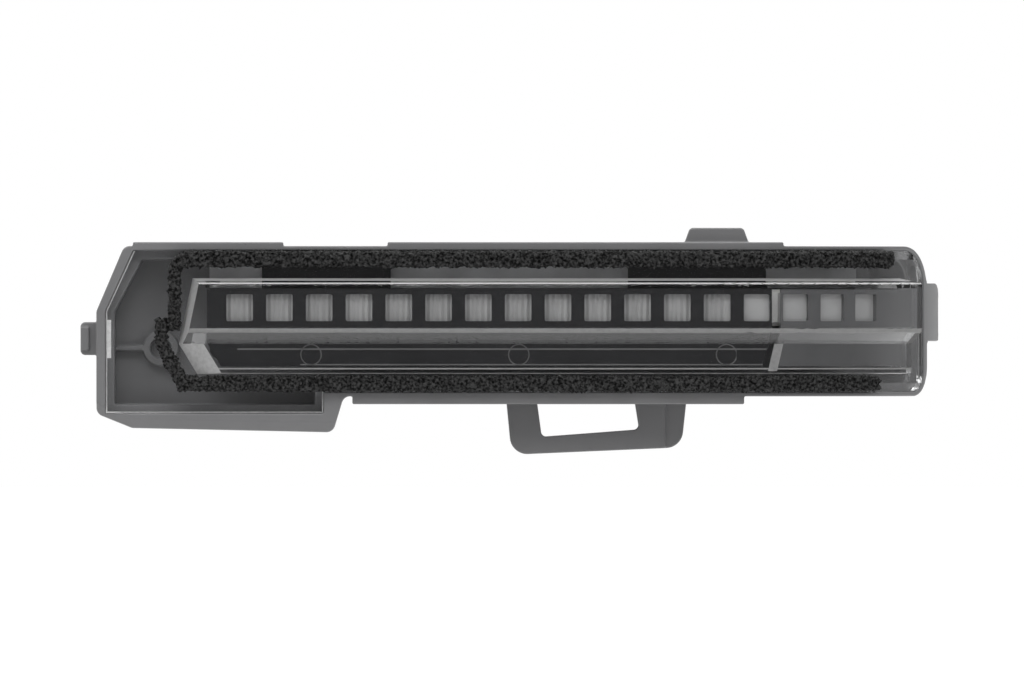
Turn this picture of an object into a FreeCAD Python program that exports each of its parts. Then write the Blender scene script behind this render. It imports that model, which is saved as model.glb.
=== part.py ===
"""Mirror light: the LED turn-signal lamp in the shell of a car's door mirror.

Millimetres. The lamp runs straight along X and then wraps round an upright axis at its right
end. X runs to the right, Z up, and the light shines towards -Y. The flat back lies on Y = 0, and
the origin is the middle of the opening in the fixing loop. Depths are measured forward from the
back, so a face at depth f has Y = -f on the straight run and radius bend_axis + f on the wrap.
"""
import FreeCAD
import Part
import Sketcher
import math
import os
import re

SIZES = {
    # Path: end of the straight run, distance of the wrap's axis behind the back, angle of the wrap
    "bend_x": 29.6,
    "bend_axis": 38.4,
    "wrap_angle": 67,
    # Housing, outside
    "housing_depth": 15,
    "left_x": -113,
    "slant_top_x": -106.6,
    "slant_low_z": 24.8,
    "top_z": 39.8,
    "tray_low_z": 5.2,
    "box_corner_z": 1.2,
    "box_foot_x": -104.8,
    "box_low_z": -2.1,
    "box_right_x": -58.6,
    "box_right_z": -3.1,
    "box_side_x": -56.1,
    "box_chamfer": 2.2,
    "corner_round": 2,
    "end_round_top": 11,
    "end_round_low": 7,
    "rail_drop": 1.8,
    "rail_depth": 4,
    "rail_angle": 7,
    "land_depth": 6,
    "land_rise": 0.9,
    "left_land_x": -70,
    "centre_land_x": -46,
    "centre_land_angle": 17,
    # Housing, inside
    "floor_wall": 2,
    "rim_wall": 1.1,
    "end_rim": 2.2,
    "box_rim": 3.5,
    "fit_gap": 0.1,
    "pillar_x": -98.3,
    "pillar_z": 16.3,
    "pillar_radius": 4.1,
    "pillar_bore": 2.4,
    "pillar_rise": 2.5,
    "rib_wall": 1.2,
    # Tabs, clip and loop
    "left_tab_reach": 3.7,
    "left_tab_low_z": 14.7,
    "left_tab_top_z": 22.3,
    "left_tab_back": 5,
    "left_tab_wall": 6,
    "left_tab_lip": 2,
    "left_tab_lip_rise": 0.8,
    "right_tab_angle": 9,
    "right_tab_wall": 2.6,
    "right_tab_low_z": 17.9,
    "right_tab_top_z": 31.3,
    "clip_left_x": 22.4,
    "clip_right_x": 37.1,
    "clip_slope": 1.2,
    "clip_top_z": 44,
    "clip_back": 5,
    "clip_wall": 5,
    "loop_wall": 3,
    "loop_left_x": -18.9,
    "loop_right_x": 23.1,
    "loop_low_z": -8.3,
    "loop_rise": 1.7,
    "loop_lean": 1.4,
    "loop_left_arm": 7,
    "loop_right_arm": 12.6,
    "loop_bar": 4.2,
    "loop_round": 4,
    "loop_step_x": 18,
    "loop_step": 0.8,
    # Lens
    "lens_recess": 0.3,
    "flange_wall": 1.8,
    "skirt_width": 2,
    "skirt_depth": 2,
    "seat_gap": 0.1,
    "bar_rise": 6,
    "low_rise": 3,
    "bar_top_z": 31.3,
    "bar_draft": 1.4,
    "ridge_z": 20.2,
    "step_z": 17.3,
    "bar_low_z": 10.6,
    "low_draft": 0.4,
    "lens_wall": 1.2,
    "bar_angle": 53.3,
    "bar_round": 0.6,
    "ridge_round": 1.5,
    "bar_top_x": -89.3,
    "bar_left_x": -94,
    "facet_low_x": -86.7,
    "facet_width": 5.7,
    "end_draft": 15,
    "inner_end_x": -87.8,
    "facet_inner_z": 17.2,
    "facet_inner_x": -84.6,
    # Masks and light windows
    "mask_gap": 1.2,
    "mask_wall": 1.2,
    "mask_clearance": 0.3,
    "mask_joint": 2.2,
    "joint_slant": 1.6,
    "wing_wall": 1.2,
    "wing_return": 0.7,
    "wing_gap": 0.5,
    "wing_top_z": 35.6,
    "wing_left_x": -74.9,
    "wing_length": 29.6,
    "wing_right_x": 9.3,
    "ring_x": -63.6,
    "ring_z": 14.8,
    "ring_radius": 2.5,
    "ring_line": 0.3,
    "ring_sink": 0.2,
    "ring_pitch": 47.8,
    "ring_count": 3,
    "light_z": 25.6,
    "window_width": 6.1,
    "window_height": 6.2,
    "window_pitch": 9.15,
    "first_window_x": -80,
    "straight_windows": 13,
    "side_windows": 3,
    "through_cut": 12,
    # Optics and LEDs
    "diffuser_wall": 1.8,
    "optic_height": 6.8,
    "flutes_per_window": 7,
    "flute_sink": 0.45,
    "cell_depth": 5.5,
    "cell_width": 6.4,
    "cell_height": 5.4,
    "flex_wall": 0.3,
    "flex_height": 8.4,
    "led_width": 3.2,
    "led_height": 2.8,
    "led_rise": 1,
    "led_cup": 1.8,
    "led_cup_sink": 0.4,
    # Carrier and its screws
    "carrier_wall": 2,
    "carrier_low_z": 21.1,
    "carrier_top_z": 36.2,
    "lug_x": -84,
    "lug_z": 16.5,
    "lug_pitch": 55,
    "lug_count": 3,
    "lug_radius": 3,
    "boss_radius": 2.6,
    "pilot_radius": 0.85,
    "screw_radius": 0.8,
    "screw_hole": 1.2,
    "screw_head": 2,
    "screw_head_rise": 1.1,
    "screw_grip": 2.4,
    # Driver board and what is on it
    "board_left_x": -79,
    "board_right_x": -34,
    "board_low_z": 12.5,
    "board_top_z": 29.5,
    "board_wall": 1.6,
    "board_gap": 1.3,
    "board_edge": 2.6,
    "chip_x": -57,
    "chip_z": 17,
    "chip_width": 6,
    "chip_rise": 0.9,
    "resistor_x": -70,
    "resistor_z": 26,
    "resistor_width": 1.6,
    "resistor_length": 3.2,
    "resistor_rise": 0.6,
    "resistor_pitch": 4.2,
    "resistor_count": 6,
    "capacitor_x": -63,
    "capacitor_z": 22.3,
    "capacitor_width": 2.5,
    "capacitor_length": 3.2,
    "capacitor_rise": 1,
    "capacitor_pitch": 4,
    "capacitor_count": 2,
    "diode_x": -67,
    "diode_z": 16.2,
    "diode_width": 4.4,
    "diode_length": 3.6,
    "diode_rise": 1.1,
    "ribbon_x": -44,
    "ribbon_width": 7,
    "ribbon_plug_z": 17.4,
    "ribbon_plug_length": 3,
    "ribbon_plug_rise": 1.1,
    "ribbon_plug_margin": 1,
    "ribbon_wall": 0.3,
    "ribbon_bend": 1.6,
    # Connector shroud, pins and vent
    "socket_x": -57,
    "socket_z": 22,
    "socket_width": 17,
    "socket_height": 11,
    "socket_wall": 1.4,
    "socket_reach": 10,
    "latch_width": 5,
    "latch_rise": 1.2,
    "latch_length": 3,
    "pin_width": 0.64,
    "pin_pitch": 2.54,
    "pin_count": 4,
    "pin_reach": 5,
    "pin_clearance": 0.4,
    "vent_x": -10,
    "vent_z": 26,
    "vent_radius": 4,
    "vent_wall": 0.4,
    "vent_hole": 1.2,
    "vent_sink": 0.5,
    # Foam strips
    "foam_wall": 3,
    "foam_gap": 0.2,
    "upper_foam_width": 3.5,
    "upper_foam_left_x": -96.3,
    "upper_foam_turn": 2.7,
    "upper_foam_round": 4.5,
    "foam_inner_round": 1.2,
    "foam_end_round": 1.4,
    "upper_foam_low_z": 20.5,
    "upper_foam_angle": 47.8,
    "lower_foam_width": 3.3,
    "lower_foam_left_x": -99.2,
    "lower_foam_turn": 2.6,
    "lower_foam_top_z": 23,
    "lower_foam_knee_z": 16.5,
    "lower_foam_heel_x": -94,
    "lower_foam_angle": 43,
}

# Depths that follow from the sizes above
FLANGE_FRONT = "(housing_depth - lens_recess)"
FLANGE_BACK = f"({FLANGE_FRONT} - flange_wall)"
SKIRT_FOOT = f"({FLANGE_BACK} - skirt_depth)"
LEDGE = f"({SKIRT_FOOT} - seat_gap)"
BAR_FRONT = "(housing_depth + bar_rise)"
LOW_FRONT = "(housing_depth + low_rise)"
MASK_FACE = f"({BAR_FRONT} - lens_wall - mask_gap)"
MASK_BACK = f"({MASK_FACE} - mask_wall)"
PANEL_FACE = f"({LOW_FRONT} - lens_wall - mask_gap)"
PANEL_BACK = f"({PANEL_FACE} - mask_wall)"
WING_FRONT = f"({FLANGE_BACK} - wing_gap)"
WING_BACK = f"({WING_FRONT} - wing_wall)"
DIFFUSER_BACK = f"({MASK_BACK} - diffuser_wall)"
FLEX_FRONT = f"({DIFFUSER_BACK} - cell_depth)"
CARRIER_FRONT = f"({FLEX_FRONT} - flex_wall)"
BOSS_FRONT = f"({CARRIER_FRONT} - carrier_wall)"
BOARD_FRONT = f"({BOSS_FRONT} - board_gap)"
BOARD_BACK = f"({BOARD_FRONT} - board_wall)"

# Heights that follow
LENS_TOP = "(top_z - rim_wall)"
LENS_LOW = "(tray_low_z + rim_wall)"
MASK_TOP = "(bar_top_z - lens_wall - mask_clearance)"
PANEL_LOW = "(bar_low_z + lens_wall + mask_clearance)"
OPTIC_LOW = "(light_z - optic_height / 2)"
OPTIC_TOP = "(light_z + optic_height / 2)"
FLEX_LOW = "(light_z - flex_height / 2)"
MITRE = "tan(22.5)"

# Screws of the board, at two opposite corners
BOARD_FIXINGS = [
    ("board_left_x + board_edge", "board_low_z + board_edge"),
    ("board_right_x - board_edge", "board_top_z - board_edge"),
]

# Ends along X
MASK_LEFT = "(inner_end_x + mask_clearance)"
CELLS_LEFT = "(first_window_x - window_pitch / 2)"


def as_angle(length, depth="housing_depth"):
    """Angle in degrees that a length takes up on the wrap at a depth."""
    return f"(({length}) / (bend_axis + {depth}) * 180 / pi)"


# Angles on the wrap
LENS_ANGLE = f"(wrap_angle - {as_angle('end_rim')})"
BAR_INNER_ANGLE = f"(bar_angle - {as_angle('lens_wall', MASK_FACE)})"
PITCH_ANGLE = as_angle("window_pitch", MASK_FACE)
TURNED_WINDOW = as_angle("first_window_x + straight_windows * window_pitch - bend_x", MASK_FACE)
JOINT_HALF = as_angle("mask_joint / 2", MASK_FACE)
MAIN_ANGLE = f"({TURNED_WINDOW} + {PITCH_ANGLE} / 2 - {JOINT_HALF})"
SIDE_ANGLE = f"({TURNED_WINDOW} + {PITCH_ANGLE} / 2 + {JOINT_HALF})"
SIDE_END_ANGLE = f"({BAR_INNER_ANGLE} - {as_angle('mask_clearance', MASK_FACE)})"
CELLS_ANGLE = f"({TURNED_WINDOW} + (side_windows + 0.5) * {PITCH_ANGLE})"

WORD = re.compile(r"[a-z][a-z_]*")

doc = FreeCAD.newDocument("mirror_light")
sheet = doc.addObject("Spreadsheet::Sheet", "size")


def fill_sheet():
    """Put every driving size into the sheet, under its own alias."""
    for row, (alias, number) in enumerate(SIZES.items(), 1):
        sheet.set(f"A{row}", alias.replace("_", " "))
        sheet.set(f"B{row}", str(number))
        sheet.setAlias(f"B{row}", alias)
    doc.recompute()


def bound(expression):
    """Expression text with the sheet's name put before each size."""
    return WORD.sub(lambda found: f"size.{found[0]}" if found[0] in SIZES else found[0], expression)


def number(expression):
    """Present value of an expression."""
    return float(sheet.evalExpression(bound(expression)))


def bind(thing, prop, expression):
    thing.setExpression(prop, bound(expression))


def new_body(label):
    """An empty body that may hold several separate solids."""
    body = doc.addObject("PartDesign::Body", label)
    body.Label = label
    body.AllowCompound = True
    return body


def new_sketch(body, name, role, offset, turn=None):
    """A sketch on one of the body's origin planes, moved by offset and turned about its own Y."""
    plane = next(item for item in body.Origin.OriginFeatures if item.Role == role)
    sketch = body.newObject("Sketcher::SketchObject", name)
    sketch.AttachmentSupport = [(plane, "")]
    sketch.MapMode = "FlatFace"
    if turn is not None:
        rotation = FreeCAD.Rotation(FreeCAD.Vector(0, 1, 0), number(turn))
        sketch.AttachmentOffset = FreeCAD.Placement(FreeCAD.Vector(), rotation)
        bind(sketch, "AttachmentOffset.Rotation.Angle", turn)
    for letter, place in zip("xyz", offset):
        bind(sketch, f"AttachmentOffset.Base.{letter}", place)
    return sketch


def pin_point(sketch, geometry, position, point):
    """Hold a point of the sketch at bound distances from the sketch's origin."""
    for kind, place in zip(("DistanceX", "DistanceY"), point):
        index = sketch.addConstraint(Sketcher.Constraint(kind, -1, 1, geometry, position, number(place)))
        bind(sketch, f"Constraints[{index}]", place)


def draw_polygon(sketch, points):
    corners = [FreeCAD.Vector(number(u), number(v), 0) for u, v in points]
    first = sketch.GeometryCount
    for index, corner in enumerate(corners):
        following = corners[(index + 1) % len(corners)]
        sketch.addGeometry(Part.LineSegment(corner, following))
    for index in range(len(corners)):
        following = first + (index + 1) % len(corners)
        sketch.addConstraint(Sketcher.Constraint("Coincident", first + index, 2, following, 1))
    for index, point in enumerate(points):
        pin_point(sketch, first + index, 1, point)


def draw_circle(sketch, centre, radius):
    middle = FreeCAD.Vector(number(centre[0]), number(centre[1]), 0)
    circle = Part.Circle(middle, FreeCAD.Vector(0, 0, 1), number(radius))
    geometry = sketch.addGeometry(circle)
    pin_point(sketch, geometry, 3, centre)
    index = sketch.addConstraint(Sketcher.Constraint("Radius", geometry, number(radius)))
    bind(sketch, f"Constraints[{index}]", radius)


def front_sketch(body, name, depth, points=None):
    """Sketch seen from the front at a depth: points are (X, Z)."""
    sketch = new_sketch(body, name, "XZ_Plane", ("0", "0", depth))
    if points:
        draw_polygon(sketch, points)
    return sketch


def turned_sketch(body, name, depth, angle, points=None):
    """Sketch seen square on at an angle of the wrap and a depth: points are (sideways, Z)."""
    across = f"bend_x + (bend_axis + {depth}) * sin({angle})"
    forward = f"(bend_axis + {depth}) * cos({angle}) - bend_axis"
    sketch = new_sketch(body, name, "XZ_Plane", (across, "0", forward), angle)
    if points:
        draw_polygon(sketch, points)
    return sketch


def section_sketch(body, name, points, angle=None):
    """Cross-section of the path, drawn about the wrap's axis: points are (depth, Z)."""
    sketch = new_sketch(body, name, "YZ_Plane", ("bend_axis", "0", "bend_x"), angle)
    draw_polygon(sketch, [(f"-(bend_axis + {depth})", z) for depth, z in points])
    return sketch


def box_points(left, right, low, top):
    return [(left, low), (right, low), (right, top), (left, top)]


def centred_points(x, z, width, height):
    return box_points(f"{x} - {width} / 2", f"{x} + {width} / 2",
                      f"{z} - {height} / 2", f"{z} + {height} / 2")


def extrude(kind, body, name, sketch, length, reverse=False):
    """Pad or pocket of a bound length. A pad goes along the sketch's normal, a pocket against it."""
    feature = body.newObject(f"PartDesign::{kind}", name)
    feature.Profile = sketch
    bind(feature, "Length", length)
    feature.Reversed = reverse
    doc.recompute()
    return feature


def pad(body, name, sketch, length, reverse=False):
    return extrude("Pad", body, name, sketch, length, reverse)


def pocket(body, name, sketch, length, reverse=False):
    return extrude("Pocket", body, name, sketch, length, reverse)


def turn_round(kind, body, name, sketch, angle):
    """Revolution or groove about the wrap's axis, away from the straight run."""
    feature = body.newObject(f"PartDesign::{kind}", name)
    feature.Profile = sketch
    feature.ReferenceAxis = (sketch, ["V_Axis"])
    bind(feature, "Angle", angle)
    doc.recompute()
    return feature


def revolve(body, name, sketch, angle):
    return turn_round("Revolution", body, name, sketch, angle)


def groove(body, name, sketch, angle):
    return turn_round("Groove", body, name, sketch, angle)


def along_path(body, name, points, left, angle):
    """Solid of one cross-section, from left along the straight run and round the wrap."""
    sketch = section_sketch(body, f"{name}_section", points)
    pad(body, f"{name}_run", sketch, f"bend_x - ({left})", True)
    revolve(body, f"{name}_wrap", sketch, angle)
    return sketch


def row(body, name, features, sketch, spacing, count):
    """Copies of features in a row along the sketch's own X."""
    pattern = body.newObject("PartDesign::LinearPattern", name)
    pattern.Originals = features
    pattern.Direction = (sketch, ["H_Axis"])
    pattern.Mode = "Spacing"
    bind(pattern, "Offset", spacing)
    bind(pattern, "Occurrences", count)
    body.Tip = pattern
    doc.recompute()
    return pattern


def fan(body, name, features, axis_sketch, angle, count):
    """Copies of features round the wrap's axis."""
    pattern = body.newObject("PartDesign::PolarPattern", name)
    pattern.Originals = features
    pattern.Axis = (axis_sketch, ["V_Axis"])
    pattern.Mode = "Spacing"
    bind(pattern, "Offset", angle)
    bind(pattern, "Occurrences", count)
    body.Tip = pattern
    doc.recompute()
    return pattern


def dress(kind, body, name, prop, size, wanted):
    """Fillet or chamfer on the edges of the body that the test wants."""
    base = body.Tip
    names = [f"Edge{i}" for i, edge in enumerate(base.Shape.Edges, 1) if wanted(edge)]
    if not names:
        raise RuntimeError(f"{name} finds no edge")
    feature = body.newObject(f"PartDesign::{kind}", name)
    feature.Base = (base, names)
    bind(feature, prop, size)
    doc.recompute()
    return feature


def fillet(body, name, radius, wanted):
    return dress("Fillet", body, name, "Radius", radius, wanted)


def chamfer(body, name, size, wanted):
    return dress("Chamfer", body, name, "Size", size, wanted)


def middle_of(edge):
    return edge.valueAt((edge.FirstParameter + edge.LastParameter) / 2)


def runs_along(edge, axis):
    """True for a straight edge parallel to an axis: 0 for X, 1 for Y, 2 for Z."""
    ends = [vertex.Point for vertex in edge.Vertexes]
    if len(ends) != 2:
        return False
    step = ends[1] - ends[0]
    return abs(abs(step[axis]) - edge.Length) < 1e-6


def depth_edge_at(places):
    """Test for edges that run front to back at any of the given (X, Z) places."""
    targets = [(number(x), number(z)) for x, z in places]

    def wanted(edge):
        if not runs_along(edge, 1):
            return False
        point = middle_of(edge)
        return any(math.hypot(point.x - x, point.z - z) < 0.01 for x, z in targets)

    return wanted


def radial_edge_at(angle, height):
    """Test for edges that point at the wrap's axis at an angle and a height."""
    turn = math.radians(number(angle))
    level = number(height)
    axis = FreeCAD.Vector(number("bend_x"), number("bend_axis"), 0)

    def wanted(edge):
        if len(edge.Vertexes) != 2:
            return False
        for vertex in edge.Vertexes:
            arm = vertex.Point - axis
            if abs(math.atan2(arm.x, -arm.y) - turn) > 1e-4 or abs(vertex.Z - level) > 0.01:
                return False
        return True

    return wanted


def path_edge_at(places):
    """Test for edges that follow the path at any of the given (depth, Z) places."""
    targets = [(number(depth), number(z)) for depth, z in places]
    bend = number("bend_x")
    arm = number("bend_axis")

    def depth_of(point):
        if point.x <= bend:
            return -point.y
        return math.hypot(point.x - bend, point.y - arm) - arm

    def near(point, target):
        return abs(depth_of(point) - target[0]) < 0.01 and abs(point.z - target[1]) < 0.01

    def wanted(edge):
        points = [vertex.Point for vertex in edge.Vertexes] + [middle_of(edge)]
        return any(all(near(point, target) for point in points) for target in targets)

    return wanted


def lens_outline(inset):
    """Outline of the lens on the straight run, moved inwards by inset."""
    left = f"left_x + end_rim + {inset}"
    box_low = f"box_low_z + box_rim + {inset}"
    box_right = f"box_right_x - end_rim - {inset}"
    low = f"{LENS_LOW} + {inset}"
    top = f"{LENS_TOP} - {inset}"
    return [
        (f"slant_top_x + end_rim + {inset}", top),
        (left, "slant_low_z"),
        (left, box_low),
        (box_right, box_low),
        (box_right, low),
        ("bend_x", low),
        ("bend_x", top),
    ]


def wrap_rectangle(back, front, inset):
    """Cross-section of the lens's height on the wrap, moved inwards by inset."""
    return box_points(back, front, f"{LENS_LOW} + {inset}", f"{LENS_TOP} - {inset}")


def housing_box_edge(body):
    """Slope on the front lower edge of the box."""
    front = -number("housing_depth")
    low = number("box_corner_z") + 0.01
    right = number("box_right_x") + 0.01

    def wanted(edge):
        return all(abs(v.Y - front) < 1e-6 and v.Z < low and v.X < right for v in edge.Vertexes)

    chamfer(body, "box_slope", "box_chamfer", wanted)


def housing_shell(body):
    """Outer block with the rail below it and the lands on top of it."""
    outline = [
        ("slant_top_x", "top_z"),
        ("left_x", "slant_low_z"),
        ("left_x", "box_corner_z"),
        ("box_foot_x", "box_low_z"),
        ("box_right_x", "box_right_z"),
        ("box_side_x", "tray_low_z"),
        ("bend_x", "tray_low_z"),
        ("bend_x", "top_z"),
    ]
    pad(body, "tray", front_sketch(body, "tray_outline", "0", outline), "housing_depth")
    wrap = section_sketch(body, "wrap_section", box_points("0", "housing_depth", "tray_low_z", "top_z"))
    revolve(body, "wrap", wrap, "wrap_angle")
    housing_box_edge(body)
    corners = [("left_x", "box_corner_z"), ("box_foot_x", "box_low_z"), ("box_right_x", "box_right_z"),
               ("box_side_x", "tray_low_z"), ("slant_top_x", "top_z"), ("left_x", "slant_low_z")]
    fillet(body, "outline_corners", "corner_round", depth_edge_at(corners))

    rail = box_points("housing_depth - rail_depth", "housing_depth", "tray_low_z - rail_drop", "tray_low_z")
    along_path(body, "rail", rail, "box_side_x + corner_round", "rail_angle")
    land_back = "housing_depth - land_depth"
    land_top = "top_z + land_rise"
    left_land = box_points("slant_top_x + corner_round", "left_land_x", "top_z - rim_wall / 2", land_top)
    pad(body, "left_land", front_sketch(body, "left_land_outline", land_back, left_land), "land_depth")
    centre_land = box_points(land_back, "housing_depth", "top_z - rim_wall / 2", land_top)
    along_path(body, "centre_land", centre_land, "centre_land_x", "centre_land_angle")


def round_wrap_end(body, name, angle, low, top, inset):
    """Round the two corners where the wrap ends, concentric with the housing's own corners."""
    fillet(body, f"{name}_top_corner", f"end_round_top - {inset}", radial_edge_at(angle, top))
    fillet(body, f"{name}_low_corner", f"end_round_low - {inset}", radial_edge_at(angle, low))


def housing_hollow(body):
    """The hollow, the rebate above it that the lens drops into, and the rounded end of the wrap."""
    hollow = front_sketch(body, "hollow_outline", LEDGE, lens_outline("skirt_width"))
    pocket(body, "hollow", hollow, f"{LEDGE} - floor_wall")
    section = section_sketch(body, "hollow_section", wrap_rectangle("floor_wall", LEDGE, "skirt_width"))
    angle = f"{LENS_ANGLE} - {as_angle('skirt_width')}"
    groove(body, "hollow_wrap", section, angle)
    round_wrap_end(body, "hollow", angle, f"{LENS_LOW} + skirt_width", f"{LENS_TOP} - skirt_width",
                   "(end_rim + skirt_width)")

    rebate = front_sketch(body, "rebate_outline", "housing_depth", lens_outline("(-fit_gap)"))
    pocket(body, "rebate", rebate, f"housing_depth - {LEDGE}")
    rectangle = wrap_rectangle(LEDGE, "housing_depth + rim_wall", "(-fit_gap)")
    section = section_sketch(body, "rebate_section", rectangle)
    angle = f"{LENS_ANGLE} + {as_angle('fit_gap')}"
    groove(body, "rebate_wrap", section, angle)
    round_wrap_end(body, "rebate", angle, f"{LENS_LOW} - fit_gap", f"{LENS_TOP} + fit_gap",
                   "(end_rim - fit_gap)")
    round_wrap_end(body, "wrap", "wrap_angle", "tray_low_z", "top_z", "0")


def housing_tabs(body):
    """Tab at each end and the clip on top."""
    left = box_points("left_x - left_tab_reach", "left_x + end_rim / 2", "left_tab_low_z", "left_tab_top_z")
    pad(body, "left_tab", front_sketch(body, "left_tab_outline", "left_tab_back", left), "left_tab_wall")
    tip = "left_x - left_tab_reach"
    corners = [(tip, "left_tab_low_z"), (tip, "left_tab_top_z")]
    fillet(body, "left_tab_corners", "rim_wall", depth_edge_at(corners))
    lip = box_points(tip, f"{tip} + left_tab_lip", "left_tab_low_z + rim_wall", "left_tab_top_z - rim_wall")
    sketch = front_sketch(body, "left_tab_lip_outline", "left_tab_back + left_tab_wall", lip)
    pad(body, "left_tab_lip", sketch, "left_tab_lip_rise")

    right = box_points("housing_depth - right_tab_wall", "housing_depth",
                       "right_tab_low_z", "right_tab_top_z")
    start = f"wrap_angle - {as_angle('end_rim / 2')}"
    revolve(body, "right_tab", section_sketch(body, "right_tab_section", right, start),
            f"right_tab_angle + {as_angle('end_rim / 2')}")
    tip = "wrap_angle + right_tab_angle"
    fillet(body, "right_tab_top_corner", "right_tab_wall", radial_edge_at(tip, "right_tab_top_z"))
    fillet(body, "right_tab_low_corner", "rim_wall", radial_edge_at(tip, "right_tab_low_z"))

    clip = [
        ("clip_left_x", "top_z - rim_wall"),
        ("clip_right_x", "top_z - rim_wall"),
        ("clip_right_x", "top_z + land_rise"),
        ("clip_right_x - clip_slope", "clip_top_z"),
        ("clip_left_x + clip_slope", "clip_top_z"),
        ("clip_left_x", "top_z + land_rise"),
    ]
    pad(body, "clip", front_sketch(body, "clip_outline", "clip_back", clip), "clip_wall")
    tips = [("clip_left_x + clip_slope", "clip_top_z"), ("clip_right_x - clip_slope", "clip_top_z")]
    fillet(body, "clip_corners", "rim_wall", depth_edge_at(tips))


def housing_loop(body):
    """Flat loop below the tray, leaning a little to the right at its foot."""
    root = "tray_low_z + rim_wall"
    right_low = "loop_low_z + loop_rise"
    inner_left = "loop_left_x + loop_left_arm"
    inner_right = "loop_right_x - loop_right_arm"
    inner_low = "loop_low_z + loop_bar"
    outline = [
        ("loop_left_x", root),
        ("loop_left_x + loop_lean", "loop_low_z"),
        ("loop_right_x - loop_lean", right_low),
        ("loop_right_x", root),
        (inner_right, root),
        (f"{inner_right} + loop_lean", f"{inner_low} + loop_rise"),
        (f"{inner_left} + loop_lean", inner_low),
        (inner_left, root),
    ]
    pad(body, "loop", front_sketch(body, "loop_outline", "0", outline), "loop_wall")
    outer = [("loop_left_x + loop_lean", "loop_low_z"), ("loop_right_x - loop_lean", right_low)]
    fillet(body, "loop_outer_corners", "loop_round", depth_edge_at(outer))
    inner = [(f"{inner_left} + loop_lean", inner_low),
             (f"{inner_right} + loop_lean", f"{inner_low} + loop_rise")]
    fillet(body, "loop_inner_corners", "rim_wall", depth_edge_at(inner))
    step = box_points("loop_step_x", "loop_right_x + rim_wall", "loop_low_z", "tray_low_z")
    pocket(body, "loop_step", front_sketch(body, "loop_step_outline", "loop_wall", step), "loop_step")


def housing_posts(body):
    """Bosses, posts, pillar and rib on the floor of the hollow."""
    bosses = front_sketch(body, "boss_outline", "floor_wall")
    draw_circle(bosses, ("lug_x", "lug_z"), "boss_radius")
    boss = pad(body, "boss", bosses, f"{BOSS_FRONT} - floor_wall")
    pilots = front_sketch(body, "boss_pilot_outline", BOSS_FRONT)
    draw_circle(pilots, ("lug_x", "lug_z"), "pilot_radius")
    pilot = pocket(body, "boss_pilot", pilots, "screw_grip + screw_head_rise")
    row(body, "bosses", [boss, pilot], bosses, "lug_pitch", "lug_count")

    posts = front_sketch(body, "post_outline", "floor_wall")
    for x in (BOARD_FIXINGS[0][0], BOARD_FIXINGS[1][0]):
        for z in (BOARD_FIXINGS[0][1], BOARD_FIXINGS[1][1]):
            draw_circle(posts, (x, z), "screw_head")
    pad(body, "posts", posts, f"{BOARD_BACK} - floor_wall")
    pilots = front_sketch(body, "post_pilot_outline", BOARD_BACK)
    for place in BOARD_FIXINGS:
        draw_circle(pilots, place, "pilot_radius")
    pocket(body, "post_pilots", pilots, "screw_grip")

    pillar = front_sketch(body, "pillar_outline", "floor_wall")
    draw_circle(pillar, ("pillar_x", "pillar_z"), "pillar_radius")
    draw_circle(pillar, ("pillar_x", "pillar_z"), "pillar_bore")
    pad(body, "pillar", pillar, "pillar_rise")
    rib = box_points("left_x + end_rim", "pillar_x - (pillar_radius + pillar_bore) / 2",
                     "pillar_z - rib_wall / 2", "pillar_z + rib_wall / 2")
    pad(body, "rib", front_sketch(body, "rib_outline", "floor_wall", rib), "pillar_rise")


def housing_socket(body):
    """Connector shroud on the back, with its slot for the pins, and the vent hole in its recess."""
    shroud = front_sketch(body, "shroud_outline", "0")
    draw_polygon(shroud, centred_points("socket_x", "socket_z", "socket_width", "socket_height"))
    draw_polygon(shroud, centred_points("socket_x", "socket_z", "(socket_width - 2 * socket_wall)",
                                        "(socket_height - 2 * socket_wall)"))
    pad(body, "shroud", shroud, "socket_reach", True)
    latch_low = "socket_z + socket_height / 2"
    latch = box_points("socket_x - latch_width / 2", "socket_x + latch_width / 2", latch_low,
                       f"{latch_low} + latch_rise")
    sketch = front_sketch(body, "latch_outline", "latch_length - socket_reach", latch)
    pad(body, "latch", sketch, "latch_length", True)
    width = "((pin_count - 1) * pin_pitch + pin_width + 2 * pin_clearance)"
    slot = centred_points("socket_x", "socket_z", width, "(pin_width + 2 * pin_clearance)")
    pocket(body, "pin_slot", front_sketch(body, "pin_slot_outline", "floor_wall", slot), "floor_wall")
    vent = front_sketch(body, "vent_outline", "floor_wall")
    draw_circle(vent, ("vent_x", "vent_z"), "vent_hole")
    pocket(body, "vent", vent, "floor_wall")
    recess = front_sketch(body, "vent_recess_outline", "vent_sink")
    draw_circle(recess, ("vent_x", "vent_z"), "vent_radius + fit_gap")
    pocket(body, "vent_recess", recess, "vent_sink")


def make_housing():
    body = new_body("housing")
    housing_shell(body)
    housing_hollow(body)
    housing_tabs(body)
    housing_loop(body)
    housing_posts(body)
    housing_socket(body)
    return body


def bar_section():
    """Outside of the light bar: drafted top, upper face, slope, lower face and drafted foot."""
    return [
        (FLANGE_BACK, "bar_top_z + bar_draft"),
        (BAR_FRONT, "bar_top_z"),
        (BAR_FRONT, "ridge_z"),
        (LOW_FRONT, "step_z"),
        (LOW_FRONT, "bar_low_z"),
        (FLANGE_BACK, "bar_low_z - low_draft"),
    ]


def bar_hollow_upper():
    """Inside of the bar above the step, one wall in from the outside."""
    return [
        (FLANGE_BACK, "bar_top_z + bar_draft - lens_wall"),
        (f"{BAR_FRONT} - lens_wall", "bar_top_z - lens_wall"),
        (f"{BAR_FRONT} - lens_wall", f"ridge_z + lens_wall * {MITRE}"),
        (f"{LOW_FRONT} - lens_wall", f"step_z + lens_wall * {MITRE}"),
        (FLANGE_BACK, f"step_z + lens_wall * {MITRE}"),
    ]


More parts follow.
